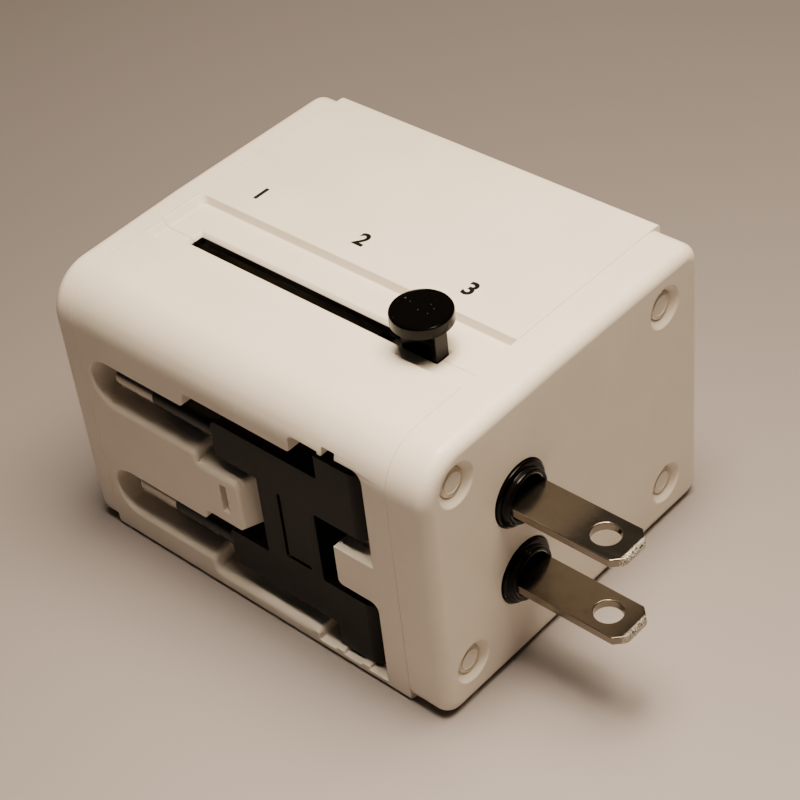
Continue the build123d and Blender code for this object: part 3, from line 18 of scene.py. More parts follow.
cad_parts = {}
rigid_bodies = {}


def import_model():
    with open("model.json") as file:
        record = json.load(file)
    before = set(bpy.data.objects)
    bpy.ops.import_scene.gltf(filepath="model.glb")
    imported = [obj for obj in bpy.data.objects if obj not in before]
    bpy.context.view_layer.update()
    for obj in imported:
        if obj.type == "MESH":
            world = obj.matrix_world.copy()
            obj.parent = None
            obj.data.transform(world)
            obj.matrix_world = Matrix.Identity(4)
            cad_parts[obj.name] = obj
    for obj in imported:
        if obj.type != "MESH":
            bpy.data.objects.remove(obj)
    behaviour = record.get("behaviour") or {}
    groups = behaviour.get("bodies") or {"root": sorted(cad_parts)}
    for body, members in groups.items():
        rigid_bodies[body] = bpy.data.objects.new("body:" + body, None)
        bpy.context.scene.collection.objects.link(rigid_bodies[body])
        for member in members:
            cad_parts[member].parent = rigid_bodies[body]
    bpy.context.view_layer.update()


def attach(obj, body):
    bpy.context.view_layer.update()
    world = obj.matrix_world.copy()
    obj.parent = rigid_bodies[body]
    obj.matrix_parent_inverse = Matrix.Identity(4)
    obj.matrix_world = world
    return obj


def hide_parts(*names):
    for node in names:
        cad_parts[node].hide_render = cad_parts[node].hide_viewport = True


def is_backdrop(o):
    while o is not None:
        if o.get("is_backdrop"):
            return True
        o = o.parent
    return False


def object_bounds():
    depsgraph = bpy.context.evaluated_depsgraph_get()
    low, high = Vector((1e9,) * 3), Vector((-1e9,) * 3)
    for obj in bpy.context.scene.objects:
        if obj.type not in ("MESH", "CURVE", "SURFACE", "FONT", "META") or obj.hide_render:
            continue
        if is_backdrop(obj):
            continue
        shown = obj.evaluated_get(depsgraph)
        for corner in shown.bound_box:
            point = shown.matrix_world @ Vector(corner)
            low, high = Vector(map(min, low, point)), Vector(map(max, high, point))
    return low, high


LOG = logging.getLogger("adapter")
MM = 0.001
Piece = bpy.types.Object
Socket = bpy.types.NodeSocket
Colour = tuple[float, float, float]
Span = tuple[float, float]
Spot = tuple[float, float, float]
Rule = Callable[[bmesh.types.BMEdge], float]

# Near-black used for the printed numbers and as painted shade on the case's slot walls.
PRINT_INK_AND_PAINTED_SHADE: Colour = (0.003, 0.0026, 0.0024)
# Box in X, Y and Z over the slot's inner walls, where the case's colour is painted near-black as painted
# shade.
PAINTED_SLOT_SHADE: tuple[Span, Span, Span] = ((-24.0, 20.6), (-10.0, -7.4), (37.4, 39.6))
FRONT_FACE = -26.05
LIP = 0.75
LIP_HALFWAY = 0.55
LIP_END = 0.16
LIP_SLOPE = 0.208
LIP_OVERCUT = 0.5
ARC_STEPS = 4
MERGE_DISTANCE = 2e-6
FLAT_ANGLE = 0.6
SHADE_ANGLE = 34.0
ANYWHERE: Span = (-math.inf, math.inf)


class Term:
    """Value in a material's node tree that can be used in plain arithmetic."""

    def __init__(self, graph: "Graph", socket: Socket) -> None:
        """Keep the graph and the output socket that this value comes from."""
        self.graph = graph
        self.socket = socket

    def _math(self, operation: str, *values: Any) -> "Term":
        """Add a Math node on the given values."""
        return self.graph.node("ShaderNodeMath", {"operation": operation}, list(values))

    def __add__(self, other: Any) -> "Term":
        """Sum with a number or a value."""
        return self._math("ADD", self, other)

    __radd__ = __add__

    def __sub__(self, other: Any) -> "Term":
        """Difference from a number or a value."""
        return self._math("SUBTRACT", self, other)

    def __rsub__(self, other: Any) -> "Term":
        """Difference with the number first."""
        return self._math("SUBTRACT", other, self)

    def __mul__(self, other: Any) -> "Term":
        """Product with a number or a value."""
        return self._math("MULTIPLY", self, other)

    __rmul__ = __mul__

    def above(self, edge: float, width: float) -> "Term":
        """Soft step from 0 to 1.

        Args:
            edge: Value at the middle of the step.
            width: Width of the step.

        Returns:
            1 above the step and 0 below it.
        """
        low, high = edge - width / 2, edge + width / 2
        settings = {"interpolation_type": "SMOOTHSTEP"}
        return self.graph.node("ShaderNodeMapRange", settings, [self, low, high, 0.0, 1.0])

    def clamped(self) -> "Term":
        """Value kept between 0 and 1."""
        return self._math("MAXIMUM", self._math("MINIMUM", self, 1.0), 0.0)


class Graph:
    """Node tree of one material, with one method for every node but arithmetic."""

    def __init__(self, material: bpy.types.Material) -> None:
        """Empty the material's tree and add its output and main shader.

        Args:
            material: Material to fill.
        """
        material.use_nodes = True
        self.tree = material.node_tree
        self.tree.nodes.clear()
        self.output = self.tree.nodes.new("ShaderNodeOutputMaterial")
        self.shader = self.tree.nodes.new("ShaderNodeBsdfPrincipled")
        self.tree.links.new(self.shader.outputs[0], self.output.inputs["Surface"])

    def node(
        self,
        kind: str,
        settings: Optional[dict[str, Any]] = None,
        inputs: Union[Sequence[Any], dict[Union[int, str], Any], None] = None,
        output: Union[int, str] = 0,
    ) -> Term:
        """Add a node.

        Args:
            kind: Blender's name of the node type.
            settings: Properties that are set before the sockets, such as an operation.
            inputs: Values or terms of the sockets, in order or by name.
            output: Number or name of the output that is wanted.

        Returns:
            The node's output as a term.
        """
        made = self.tree.nodes.new(kind)
        for name, value in (settings or {}).items():
            setattr(made, name, value)
        pairs = inputs.items() if isinstance(inputs, dict) else enumerate(inputs or [])
        for key, value in pairs:
            self.feed(made.inputs[key], value)
        return Term(self, made.outputs[output])

    def feed(self, socket: Socket, value: Any) -> None:
        """Link a term to a socket, or set the socket's own value.

        Args:
            socket: Input of a node.
            value: Term, number or colour.
        """
        if isinstance(value, Term):
            self.tree.links.new(value.socket, socket)
        elif socket.type == "RGBA" and len(value) == 3:
            socket.default_value = (*value, 1.0)
        else:
            socket.default_value = value

    def place(self, scale: Sequence[float] = (1.0, 1.0, 1.0)) -> Term:
        """Place on the piece.

        Args:
            scale: Factors that stretch it along X, Y and Z.

        Returns:
            The place in millimetres.
        """
        where = self.node("ShaderNodeTexCoord", output="Object")
        factors = [value / MM for value in scale]
        return self.node("ShaderNodeVectorMath", {"operation": "MULTIPLY"}, [where, factors])

    def noise(self, where: Term, scale: float, detail: float = 2.0, rough: float = 0.5) -> Term:
        """Smooth noise around 0.5 at so many waves a millimetre."""
        values = {"Vector": where, "Scale": scale, "Detail": detail, "Roughness": rough}
        return self.node("ShaderNodeTexNoise", None, values)

    def part(self, where: Term, axis: str) -> Term:
        """One part of a place, by the axis's letter."""
        return self.node("ShaderNodeSeparateXYZ", None, [where], axis)

    def within(self, where: Term, spans: Iterable[Span]) -> Term:
        """Mark a box.

        Args:
            where: Place on the piece in millimetres.
            spans: Lowest and highest X, Y and Z of the box.

        Returns:
            1 in the box and 0 outside it.
        """
        inside: Any = 1.0
        for axis, (low, high) in zip("XYZ", spans):
            place = self.part(where, axis)
            inside = place.above(low, width=0.02) * (1.0 - place.above(high, width=0.02)) * inside
        return inside

    def specks(self, where: Term, scale: float, size: float, share: float) -> Term:
        """Small round specks.

        Args:
            where: Place on the piece in millimetres.
            scale: Cells in a millimetre.
            size: Radius of a speck as a part of its cell.
            share: Part of the cells that hold a speck.

        Returns:
            1 on a speck and 0 elsewhere.
        """
        values = {"Vector": where, "Scale": scale, "Randomness": 1.0}
        near = self.node("ShaderNodeTexVoronoi", {"feature": "F1"}, values, "Distance")
        cell = self.node("ShaderNodeTexVoronoi", {"feature": "F1"}, values, "Color")
        pick = self.node("ShaderNodeSeparateColor", None, [cell])
        return (1.0 - near.above(size, size)) * (1.0 - pick.above(share, 0.02))

    def mix(self, factor: Any, first: Any, second: Any) -> Term:
        """Mix two colours by a factor; their sockets go by number, because names repeat."""
        return self.node("ShaderNodeMix", {"data_type": "RGBA"}, {0: factor, 6: first, 7: second}, 2)

    def bump(self, height: Term, depth_mm: float) -> Term:
        """Normal from a height that runs from 0 to 1 over the depth."""
        values = {"Distance": depth_mm * MM, "Height": height}
        return self.node("ShaderNodeBump", None, values, "Normal")

    def set(self, **values: Any) -> None:
        """Set or link the main shader's sockets, named with underscores for spaces."""
        for name, value in values.items():
            self.feed(self.shader.inputs[name.replace("_", " ")], value)


class Finish:
    """Material of one finish, made once and shared."""

    made: dict[str, bpy.types.Material] = {}

    def material(self) -> bpy.types.Material:
        """Build the material the first time.

        Returns:
            The finish's material.
        """
        name = self.name
        if name not in Finish.made:
            material = bpy.data.materials.new(name)
            self.paint(Graph(material))
            Finish.made[name] = material
        return Finish.made[name]

    def paint(self, graph: Graph) -> None:
        """Build the finish's nodes."""
        raise NotImplementedError


@dataclass(frozen=True)
class Moulding(Finish):
    """Moulded plastic: soft waviness, fine grain, faint clouding, dust, tiny marks and painted shade in
    given boxes.
    """

    name: str
    colour: Colour
    rough: float = 0.3
    grain: float = 0.004
    grain_scale: float = 4.0
    wave: float = 0.0
    cloud: float = 0.0
    dust: float = 0.0
    dust_colour: Colour = (0.1, 0.1, 0.1)
    shine: float = 0.5
    # Boxes where the colour is painted near-black as painted shade.
    lined: tuple[Span, ...] = ()

    def paint(self, graph: Graph) -> None:
        """Build the moulding's nodes.

        Args:
            graph: Node tree of the material.
        """
        where = graph.place()
        cloud = graph.noise(where, scale=0.09, detail=3.0)
        shade = tuple(value * (1.0 - 2.4 * self.cloud) for value in self.colour)
        tone = graph.mix(cloud.above(0.5, width=0.6), shade, self.colour)
        motes = graph.specks(where, scale=0.42, size=0.045, share=0.34) * self.dust
        fine = graph.specks(where, scale=1.15, size=0.05, share=0.16) * (self.dust * 0.7)
        tone = graph.mix((motes + fine).clamped(), tone, self.dust_colour)
        # Painted shade: the colour is set near-black inside the given boxes.
        if self.lined:
            tone = graph.mix(graph.within(where, self.lined), tone, PRINT_INK_AND_PAINTED_SHADE)
        smear = graph.noise(where, scale=0.22, detail=4.0, rough=0.6)
        rough = self.rough + (smear - 0.5) * 0.16 + motes * 0.3
        grain = graph.noise(where, self.grain_scale)
        wave = graph.noise(where, scale=0.16, detail=1.0)
        height = grain * self.grain + wave * self.wave
        normal = graph.bump(height, depth_mm=1.0)
        graph.set(Base_Color=tone, Roughness=rough, Normal=normal)
        graph.set(IOR=1.5, Specular_IOR_Level=self.shine)


@dataclass(frozen=True)
class Plating(Finish):
    """Plated or bare metal: rolled streaks along one axis, fine scratches and handling marks."""

    name: str
    colour: Colour
    dull: Colour
    rough: float = 0.25
    streaks: Spot = (0.05, 1.0, 1.0)
    scratch: Spot = (0.6, 2.6, 2.6)
    depth: float = 0.004
    stain: float = 0.35
    tip: float = 0.0
    bright: Colour = (0.95, 0.9, 0.78)

    def paint(self, graph: Graph) -> None:
        """Build the metal's nodes.

        Args:
            graph: Node tree of the material.
        """
        along = graph.noise(graph.place(self.streaks), scale=2.2, detail=4.0, rough=0.65)
        where = graph.place()
        cloud = graph.noise(where, scale=0.35, detail=4.0, rough=0.6)
        worn = cloud.above(0.62, width=0.3) * self.stain
        lines = graph.noise(graph.place(self.scratch), scale=2.6, detail=3.0, rough=0.7)
        scratches = lines.above(0.63, width=0.1)
        tone = graph.mix((worn + scratches * 0.2).clamped(), self.colour, self.dull)
        rough = self.rough + (along - 0.5) * 0.08 + worn * 0.15
        height = along + scratches * 0.4
        metal: Any = 1.0
        if self.tip:
            pits = graph.noise(where, scale=7.0, detail=3.0, rough=0.7).above(0.53, width=0.08)
            bare = graph.part(where, "X").above(self.tip, width=0.25) * pits
            tone = graph.mix(bare, tone, self.bright)
            rough = rough + bare * 0.25
            height = height + bare * 4.0
            metal = 1.0 - bare * 0.7
        normal = graph.bump(height, self.depth)
        graph.set(Base_Color=tone, Metallic=metal, Roughness=rough.clamped(), Normal=normal)


@dataclass(frozen=True)
class Laminate(Finish):
    """Circuit board under solder mask, with lighter tracks and faint weave."""

    name: str = "board_laminate"
    mask: Colour = (0.03, 0.16, 0.07)
    track: Colour = (0.06, 0.27, 0.11)

    def paint(self, graph: Graph) -> None:
        """Build the board's nodes.

        Args:
            graph: Node tree of the material.
        """
        where = graph.place()
        values = {"Vector": where, "Scale": 0.55, "Randomness": 0.4}
        settings = {"feature": "DISTANCE_TO_EDGE", "distance": "EUCLIDEAN"}
        lines = graph.node("ShaderNodeTexVoronoi", settings, values, "Distance")
        track = 1.0 - lines.above(0.12, width=0.03)
        tone = graph.mix(track, self.mask, self.track)
        weave = graph.noise(where, scale=6.0, detail=1.0)
        normal = graph.bump(track * 0.5 + weave * 0.2, depth_mm=0.03)
        graph.set(Base_Color=tone, Roughness=0.32 + weave * 0.1, Normal=normal)


@dataclass(frozen=True)
class Wrap(Finish):
    """Wound tape or printed sleeve: overlapping turns with slightly darker edges."""

    name: str
    colour: Colour
    edge: Colour
    turns: float = 0.5
    rough: float = 0.35

    def paint(self, graph: Graph) -> None:
        """Build the wrap's nodes.

        Args:
            graph: Node tree of the material.
        """
        where = graph.place()
        settings = {"wave_type": "BANDS", "bands_direction": "Y", "wave_profile": "SAW"}
        values = {"Vector": where, "Scale": self.turns, "Distortion": 0.3, "Detail": 1.0}
        turn = graph.node("ShaderNodeTexWave", settings, values, 1)
        tone = graph.mix(turn.above(0.9, width=0.15), self.colour, self.edge)
        cloud = graph.noise(where, scale=0.8)
        normal = graph.bump(turn + cloud * 0.3, depth_mm=0.04)
        graph.set(Base_Color=tone, Roughness=self.rough + cloud * 0.1, Normal=normal)


@dataclass(frozen=True)
class ClearGlass(Finish):
    """Clear glass tube with faint smears."""

    name: str = "fuse_glass_clear"

    def paint(self, graph: Graph) -> None:
        """Build the glass's nodes.

        Args:
            graph: Node tree of the material.
        """
        smear = graph.noise(graph.place(), scale=0.9, detail=3.0)
        graph.set(Base_Color=(0.92, 0.95, 0.94), Roughness=0.04 + smear * 0.08)
        graph.set(IOR=1.48, Alpha=0.35)


@dataclass(frozen=True)
class Tabletop(Finish):
    """Plain pale tabletop: even tone with soft clouding."""

    name: str = "tabletop"
    colour: Colour = (0.285, 0.255, 0.245)

    def paint(self, graph: Graph) -> None:
        """Build the tabletop's nodes.

        Args:
            graph: Node tree of the material.
        """
        cloud = graph.noise(graph.place(), scale=0.008, detail=3.0)
        dark = tuple(value * 0.955 for value in self.colour)
        tone = graph.mix(cloud.above(0.5, width=0.5), dark, self.colour)
        graph.set(Base_Color=tone, Roughness=0.5)


def pale(name: str, colour: Colour, rough: float, **others: Any) -> Moulding:
    """Light plastic, on which soft clouds, dust and marks show."""
    looks = {"grain_scale": 3.0, "wave": 0.02, "cloud": 0.03, "dust": 0.25}
    return Moulding(name, colour, rough, dust_colour=(0.3, 0.27, 0.24), **looks, **others)


class Finishes(Enum):
    """Finishes of this adapter's pieces."""

    # The case's slot walls get painted shade through its boxes.
    CASE = pale("warm_white_case", (0.88, 0.80, 0.68), 0.42, lined=PAINTED_SLOT_SHADE)
    PLUG = pale("screw_plug_white", (0.89, 0.81, 0.69), 0.4)
    OUTLET = pale("outlet_white", (0.88, 0.80, 0.68), 0.42)
    FRAME = pale("inner_frame_grey", (0.42, 0.42, 0.40), 0.5, grain=0.01)
    TONGUE = pale("port_tongue_white", (0.78, 0.78, 0.75), 0.4)
    GLOSS_BLACK = Moulding(
        "gloss_black", (0.0016, 0.0014, 0.0013), 0.16, grain=0.002, grain_scale=3.0, wave=0.01, dust=0.3,
        dust_colour=(0.2, 0.18, 0.16), shine=0.13,
    )
    SATIN_BLACK = Moulding(
        "satin_black", (0.0042, 0.0036, 0.0036), 0.33, grain=0.006, grain_scale=5.0, wave=0.01, dust=0.2,
        dust_colour=(0.1, 0.09, 0.08), shine=0.1,
    )
    CARRIAGE = Moulding(
        "carriage_black", (0.004, 0.0036, 0.0034), 0.45, grain=0.01, wave=0.01, dust=0.1, shine=0.2,
    )
    SLEEVE = Moulding("sleeve_black", (0.006, 0.0055, 0.0055), 0.3, grain=0.008, dust=0.1, shine=0.3)
    PRINT = Moulding("black_print", PRINT_INK_AND_PAINTED_SHADE, 0.5, grain=0.002, shine=0.12)
    FERRITE = Moulding("ferrite_grey", (0.035, 0.035, 0.038), 0.6, grain=0.02, cloud=0.05)
    LEAD_RED = Moulding("lead_red", (0.42, 0.018, 0.014), 0.38, cloud=0.02)
    LEAD_BLACK = Moulding("lead_black", (0.02, 0.02, 0.02), 0.38)
    NICKEL = Plating("nickel_plate", (0.42, 0.38, 0.34), (0.28, 0.25, 0.22), 0.2)
    BLADE = Plating("nickel_blade", (0.235, 0.205, 0.165), (0.15, 0.125, 0.095), 0.19, tip=47.95)
    SHEET_BRASS = Plating("sheet_brass", (0.80, 0.58, 0.26), (0.5, 0.33, 0.13), 0.28)
    STEEL = Plating("zinc_steel", (0.56, 0.57, 0.58), (0.33, 0.33, 0.33), 0.3)
    TIN = Plating("tin_steel", (0.68, 0.68, 0.68), (0.45, 0.44, 0.42), 0.26)
    GOLD = Plating("contact_gold", (0.86, 0.66, 0.28), (0.6, 0.42, 0.15), 0.2)
    BOARD = Laminate()
    TAPE = Wrap("winding_tape_yellow", (0.72, 0.48, 0.05), (0.5, 0.3, 0.03), turns=0.42)
    CAN = Wrap("capacitor_sleeve", (0.02, 0.03, 0.09), (0.35, 0.36, 0.38), turns=0.05, rough=0.3)
    GLASS = ClearGlass()
    TABLE = Tabletop()


@dataclass(frozen=True)
class Region:
    """Box of corners, in millimetres, that move together."""

    x: Span
    y: Span
    z: Span
    move: Spot = (0.0, 0.0, 0.0)

    def holds(self, spot: Vector) -> bool:
        """Whether a place in millimetres lies inside the box."""
        return all(low < value < high for value, (low, high) in zip(spot, (self.x, self.y, self.z)))


RECESS_MOVES = (
    Region(ANYWHERE, (-5.6, -2.8), (40.7, math.inf), (0.0, 0.9, 0.0)),
    Region(ANYWHERE, (-5.6, -2.8), (40.1, 40.7), (0.0, 1.25, 0.0)),
    Region((-26.4, -23.0), (-13.0, -2.8), (40.1, math.inf), (-1.1, 0.0, 0.0)),
    Region((-21.6, -19.4), (-10.6, -6.6), (38.4, math.inf), (-1.1, 0.0, 0.0)),
)
KNOB_MOVES = (Region(ANYWHERE, ANYWHERE, (46.25, math.inf), (0.0, 0.0, -0.08)),)
POCKET_MOUTH = Region((-26.9, 10.0), (-math.inf, -24.6), (1.9, 31.2))


def new_object(name: str, data: bpy.types.ID) -> Piece:
    """Link a new object to the scene.

    Args:
        name: Its name.
        data: Its mesh, text, light or camera.

    Returns:
        The object.
    """
    made = bpy.data.objects.new(name, data)
    bpy.context.scene.collection.objects.link(made)
    return made


def baked(source: Piece, name: str) -> Piece:
    """Turn an object with its modifiers into a plain mesh object at the origin.

    Args:
        source: Object to evaluate; it is removed.
        name: Name of the new object.

    Returns:
        The plain mesh object.
    """
    bpy.context.view_layer.update()
    graph = bpy.context.evaluated_depsgraph_get()
    mesh = bpy.data.meshes.new_from_object(source.evaluated_get(graph))
    mesh.transform(source.matrix_world)
    bpy.data.batch_remove((source, source.data))
    mesh.name = name
    return new_object(name, mesh)


def solid(name: str, shape: bmesh.types.BMesh) -> Piece:
    """Turn a finished shape into a piece.

    Args:
        name: Name of the piece.
        shape: Its shape, which is freed.

    Returns:
        The piece.
    """
    mesh = bpy.data.meshes.new(name)
    shape.to_mesh(mesh)
    shape.free()
    return new_object(name, mesh)


def rounded_edges(piece: Piece, size: Rule, segments: int) -> None:
    """Add a rounding to a piece's edges, each with its own width.

    Args:
        piece: Object to change.
        size: Gives the width in millimetres for an edge, or 0 to leave it sharp.
        segments: Steps of the rounding.
    """
    shape = bmesh.new()
    shape.from_mesh(piece.data)
    layer = shape.edges.layers.float.new("bevel_weight_edge")
    sizes = [size(edge) if len(edge.link_faces) == 2 else 0.0 for edge in shape.edges]
    widest = max(max(sizes), 0.01)
    for edge, width in zip(shape.edges, sizes):
        edge[layer] = width / widest
    shape.to_mesh(piece.data)
    shape.free()
    bevel = piece.modifiers.new("edges", "BEVEL")
    bevel.width = widest * MM
    bevel.segments = segments
    bevel.limit_method = "WEIGHT"
    bevel.use_clamp_overlap = False
    bevel.miter_outer = "MITER_ARC"


def sharp_edges(width: float, angle: float = 40.0) -> Rule:
    """Rule that gives every edge sharper than the angle the same width in millimetres."""
    limit = math.radians(angle)
    return lambda edge: width if edge.calc_face_angle(0.0) > limit else 0.0


def refined(
    node: str,
    name: str,
    size: Rule,
    segments: int = 2,
    cutters: Iterable[Piece] = (),
    moves: Iterable[Region] = (),
) -> Piece:
    """Copy a CAD node's mesh, merge it, move some corners, cut it, and round its edges.

    Args:
        node: CAD node to copy.
        name: Name of the new piece.
        size: Gives the width in millimetres for an edge, or 0 to leave it sharp.
        segments: Steps of the rounding.
        cutters: Closed shapes that are taken away first.
        moves: Boxes whose corners are moved first.

    Returns:
        The new piece as a plain mesh.
    """
    copy = new_object(name + "_raw", bpy.data.objects[node].data.copy())
    shape = bmesh.new()
    shape.from_mesh(copy.data)
    bmesh.ops.remove_doubles(shape, verts=shape.verts, dist=MERGE_DISTANCE)
    bmesh.ops.recalc_face_normals(shape, faces=shape.faces)
    for vert in shape.verts:
        spot = vert.co / MM
        for region in moves:
            if region.holds(spot):
                vert.co += Vector(region.move) * MM
    shape.to_mesh(copy.data)
    shape.free()
    for cutter in cutters:
        copy = carved(copy, cutter)
    shape = bmesh.new()
    shape.from_mesh(copy.data)
    bmesh.ops.dissolve_limit(
        shape,
        angle_limit=math.radians(FLAT_ANGLE),
        verts=shape.verts,
        edges=shape.edges,
        delimit={"NORMAL"},
    )
    shape.to_mesh(copy.data)
    shape.free()
    rounded_edges(copy, size, segments)
    return baked(copy, name)


def smooth(piece: Piece, angle: float = SHADE_ANGLE) -> Piece:
    """Shade a piece smoothly, sharp where faces turn by more, with large faces kept flat.

    Args:
        piece: Object to change; it is replaced.
        angle: Greatest turn in degrees that is shaded smoothly.

    Returns:
        The shaded piece.
    """
    mesh = piece.data
    mesh.shade_smooth()
    shape = bmesh.new()
    shape.from_mesh(mesh)
    limit = math.radians(angle)
    for edge in shape.edges:
        edge.smooth = len(edge.link_faces) != 2 or edge.calc_face_angle(0.0) < limit
    shape.to_mesh(mesh)
    shape.free()
    normals = piece.modifiers.new("normals", "WEIGHTED_NORMAL")
    normals.keep_sharp = True
    normals.weight = 80
    return baked(piece, piece.name)


def revolved(name: str, profile: Sequence[tuple[float, float]], steps: int = 96) -> Piece:
    """Turn a profile round the Z axis.

    Args:
        name: Name of the piece.
        profile: Radius and height of each point in millimetres, from one end to the other.
        steps: Number of steps round.

    Returns:
        A closed piece, with a point at each end where the radius is 0.
    """
    shape = bmesh.new()
    rings = []
    for radius, height in profile:
        ring = []
        for step in range(steps if radius > 0.0 else 1):
            turn = 2.0 * math.pi * step / steps
            spot = (radius * math.cos(turn) * MM, radius * math.sin(turn) * MM, height * MM)
            ring.append(shape.verts.new(spot))
        rings.append(ring)
    for low, high in zip(rings, rings[1:]):
        for step in range(steps):
            following = (step + 1) % steps
            corners = [low[step % len(low)], low[following % len(low)]]
            corners += [high[following % len(high)], high[step % len(high)]]
            corners = list(dict.fromkeys(corners))
            if len(corners) > 2:
                shape.faces.new(corners)
    bmesh.ops.recalc_face_normals(shape, faces=shape.faces)
    return solid(name, shape)


def eased(points: Sequence[tuple[float, float, float]]) -> list[tuple[float, float]]:
    """Round the corners of a profile.

    Args:
        points: Radius, height and corner radius of each point in millimetres.

    Returns:
        The profile's points with an arc of ARC_STEPS steps at each rounded corner.
    """
    line: list[tuple[float, float]] = []
    for index, (radius, height, turn) in enumerate(points):
        here = Vector((radius, height))
        if turn <= 0.0 or index in (0, len(points) - 1):
            line.append((radius, height))
            continue
        back = (Vector(points[index - 1][:2]) - here).normalized()
        ahead = (Vector(points[index + 1][:2]) - here).normalized()
        first, last = here + back * turn, here + ahead * turn
        for step in range(ARC_STEPS + 1):
            part = step / ARC_STEPS
            spot = first * (1 - part) ** 2 + here * 2 * part * (1 - part) + last * part**2
            line.append((spot.x, spot.y))
    return line


def shift(spot: Sequence[float]) -> Matrix:
    """Matrix that moves by a distance in millimetres."""
    return Matrix.Translation(Vector(spot) * MM)


Kept = tuple[tuple[Finishes, tuple[str, ...]], ...]


@dataclass
class SubAssembly:
    """Group of pieces that are built and dressed together."""

    title: str = "sub-assembly"
    kept: Kept = ()
    pieces: list[str] = field(default_factory=list)

    def dress(self) -> None:
        """Finish the CAD nodes that are kept as they are."""
        for finish, nodes in self.kept:
            for node in nodes:
                for slot in bpy.data.objects[node].material_slots:
                    slot.material = finish.value.material()
                self.pieces.append(node)

    def add(
        self, piece: Piece, body: str, finish: Finishes, slot: str, nodes: Iterable[str] = ()
    ) -> None:
        """Finish a new piece and tie it to its body.

        Args:
            piece: The new piece, in place.
            body: CAD body that it moves with.
            finish: Its finish.
            slot: The record's material slot; not used.
            nodes: CAD nodes that it stands for.
        """
        piece.data.materials.clear()
        piece.data.materials.append(finish.value.material())
        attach(piece, body)
        if nodes:
            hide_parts(*nodes)
        self.pieces.append(piece.name)

    def build(self) -> None:
        """Build and dress every piece."""
        self.dress()

    def report(self) -> None:
        """Log the pieces of this sub-assembly."""
        for piece in self.pieces:
            LOG.info("%s: %s", self.title, piece)


@dataclass(frozen=True)
class Rim:
    """Point of a pocket's edge: its place, the way into the pocket and the lip's size there."""

    x: float
    z: float
    into_x: float
    into_z: float
    size: float = LIP
    slope: float = LIP_SLOPE


def bend(
    centre: Span, radius: float, turn: Span, hollow: bool, sizes: Span = (LIP, LIP), steps: int = 10
) -> list[Rim]:
    """Points of an edge that runs round an arc.

    Args:
        centre: Middle of the arc in X and Z.
        radius: Its radius.
        turn: First and last angle in degrees.
        hollow: Whether the pocket lies on the middle's side.
        sizes: Size of the lip at both ends.
        steps: Number of steps along the arc.

    Returns:
        The arc's points in order.
    """
    points = []
    for step in range(steps + 1):
        part = step / steps
        angle = math.radians(turn[0] + (turn[1] - turn[0]) * part)
        out = (math.cos(angle), math.sin(angle))
        into = (-out[0], -out[1]) if hollow else out
        size = sizes[0] + (sizes[1] - sizes[0]) * part
        spot = (centre[0] + radius * out[0], centre[1] + radius * out[1])
        points.append(Rim(*spot, *into, size, LIP_SLOPE * max(0.0, into[1])))
    return points


@dataclass
class Lip:
    """Rounded lip of a pocket, cut along its edge with a size that changes on the way."""

    name: str
    points: list[Rim]
    steps: int = 6

    def section(self, rim: Rim) -> list[Vector]:
        """Cut the cutter across at one point.

        Args:
            rim: The point.

        Returns:
            The section's corners.
        """
        pairs = []
        for step in range(self.steps + 1):
            part = step / self.steps
            into = rim.size * (rim.slope * part**2 - (1 - part) ** 2)
            pairs.append((into, rim.size * part**2))
        pairs += [(LIP_OVERCUT, rim.size), (LIP_OVERCUT, -LIP_OVERCUT), (-rim.size, -LIP_OVERCUT)]
        return [
            Vector((rim.x + rim.into_x * into, FRONT_FACE + back, rim.z + rim.into_z * into)) * MM
            for into, back in pairs
        ]

    def cutter(self) -> Piece:
        """Join the sections along the edge.

        Returns:
            Closed shape that cuts the lip when it is taken away from the case.
        """
        shape = bmesh.new()
        rings = [[shape.verts.new(spot) for spot in self.section(rim)] for rim in self.points]
        for first, second in zip(rings, rings[1:]):
            for index in range(len(first)):
                after = (index + 1) % len(first)
                shape.faces.new((first[index], first[after], second[after], second[index]))
        shape.faces.new(rings[0])
        shape.faces.new(rings[-1])
        bmesh.ops.recalc_face_normals(shape, faces=shape.faces)
        return solid(self.name, shape)


def slot_end(level: float) -> list[Rim]:
    """Follow the round left end of a pin slot.

    Args:
        level: Height of the slot's middle.

    Returns:
        Its points from top to bottom, with a lip that grows on the way.
    """
    centre, radius = (-22.525, level), 3.675
    upper = bend(centre, radius, (120.0, 200.0), True, (LIP_END, LIP_HALFWAY), 14)
    return upper + bend(centre, radius, (206.0, 270.0), True, (LIP_HALFWAY, LIP), 12)


def pocket_lips() -> list[Lip]:
    """Lay out the pocket's lips.

    Returns:
        The lips along the lower edges of the two pin slots and round the finger tongue's end.
    """
    quarter, rise = (90.0, 0.0), (180.0, 270.0)
    low = slot_end(8.375)
    low += bend((-8.9, 3.9), 0.8, quarter, False)
    low += bend((-7.3, 3.2), 0.8, rise, True)
    low += [Rim(8.6, 2.4, 0.0, 1.0), Rim(9.8, 2.4, 0.0, 1.0, LIP_END)]
    high = slot_end(27.025)
    high += bend((-8.5, 22.55), 0.8, quarter, False)
    high += bend((-7.15, 22.2), 0.55, rise, True)
    high += bend((-1.5, 20.85), 0.8, quarter, False, (LIP, 0.6))
    high += [Rim(-0.7, 20.2, 1.0, 0.0, 0.45, 0.4), Rim(-0.7, 14.6, 1.0, 0.0, 0.3, 0.4)]
    return [Lip("lower_lip", low), Lip("upper_lip", high)]


def away_from_lips(rule: Rule) -> Rule:
    """Leave the edges round the cut lips as they are.

    Args:
        rule: Rule for all other edges.

    Returns:
        The rule with the pocket's mouth left out.
    """

    def size(edge: bmesh.types.BMEdge) -> float:
        """Width for an edge, or 0 at the pocket's mouth."""
        near = any(POCKET_MOUTH.holds(vert.co / MM) for vert in edge.verts)
        return 0.0 if near else rule(edge)

    return size


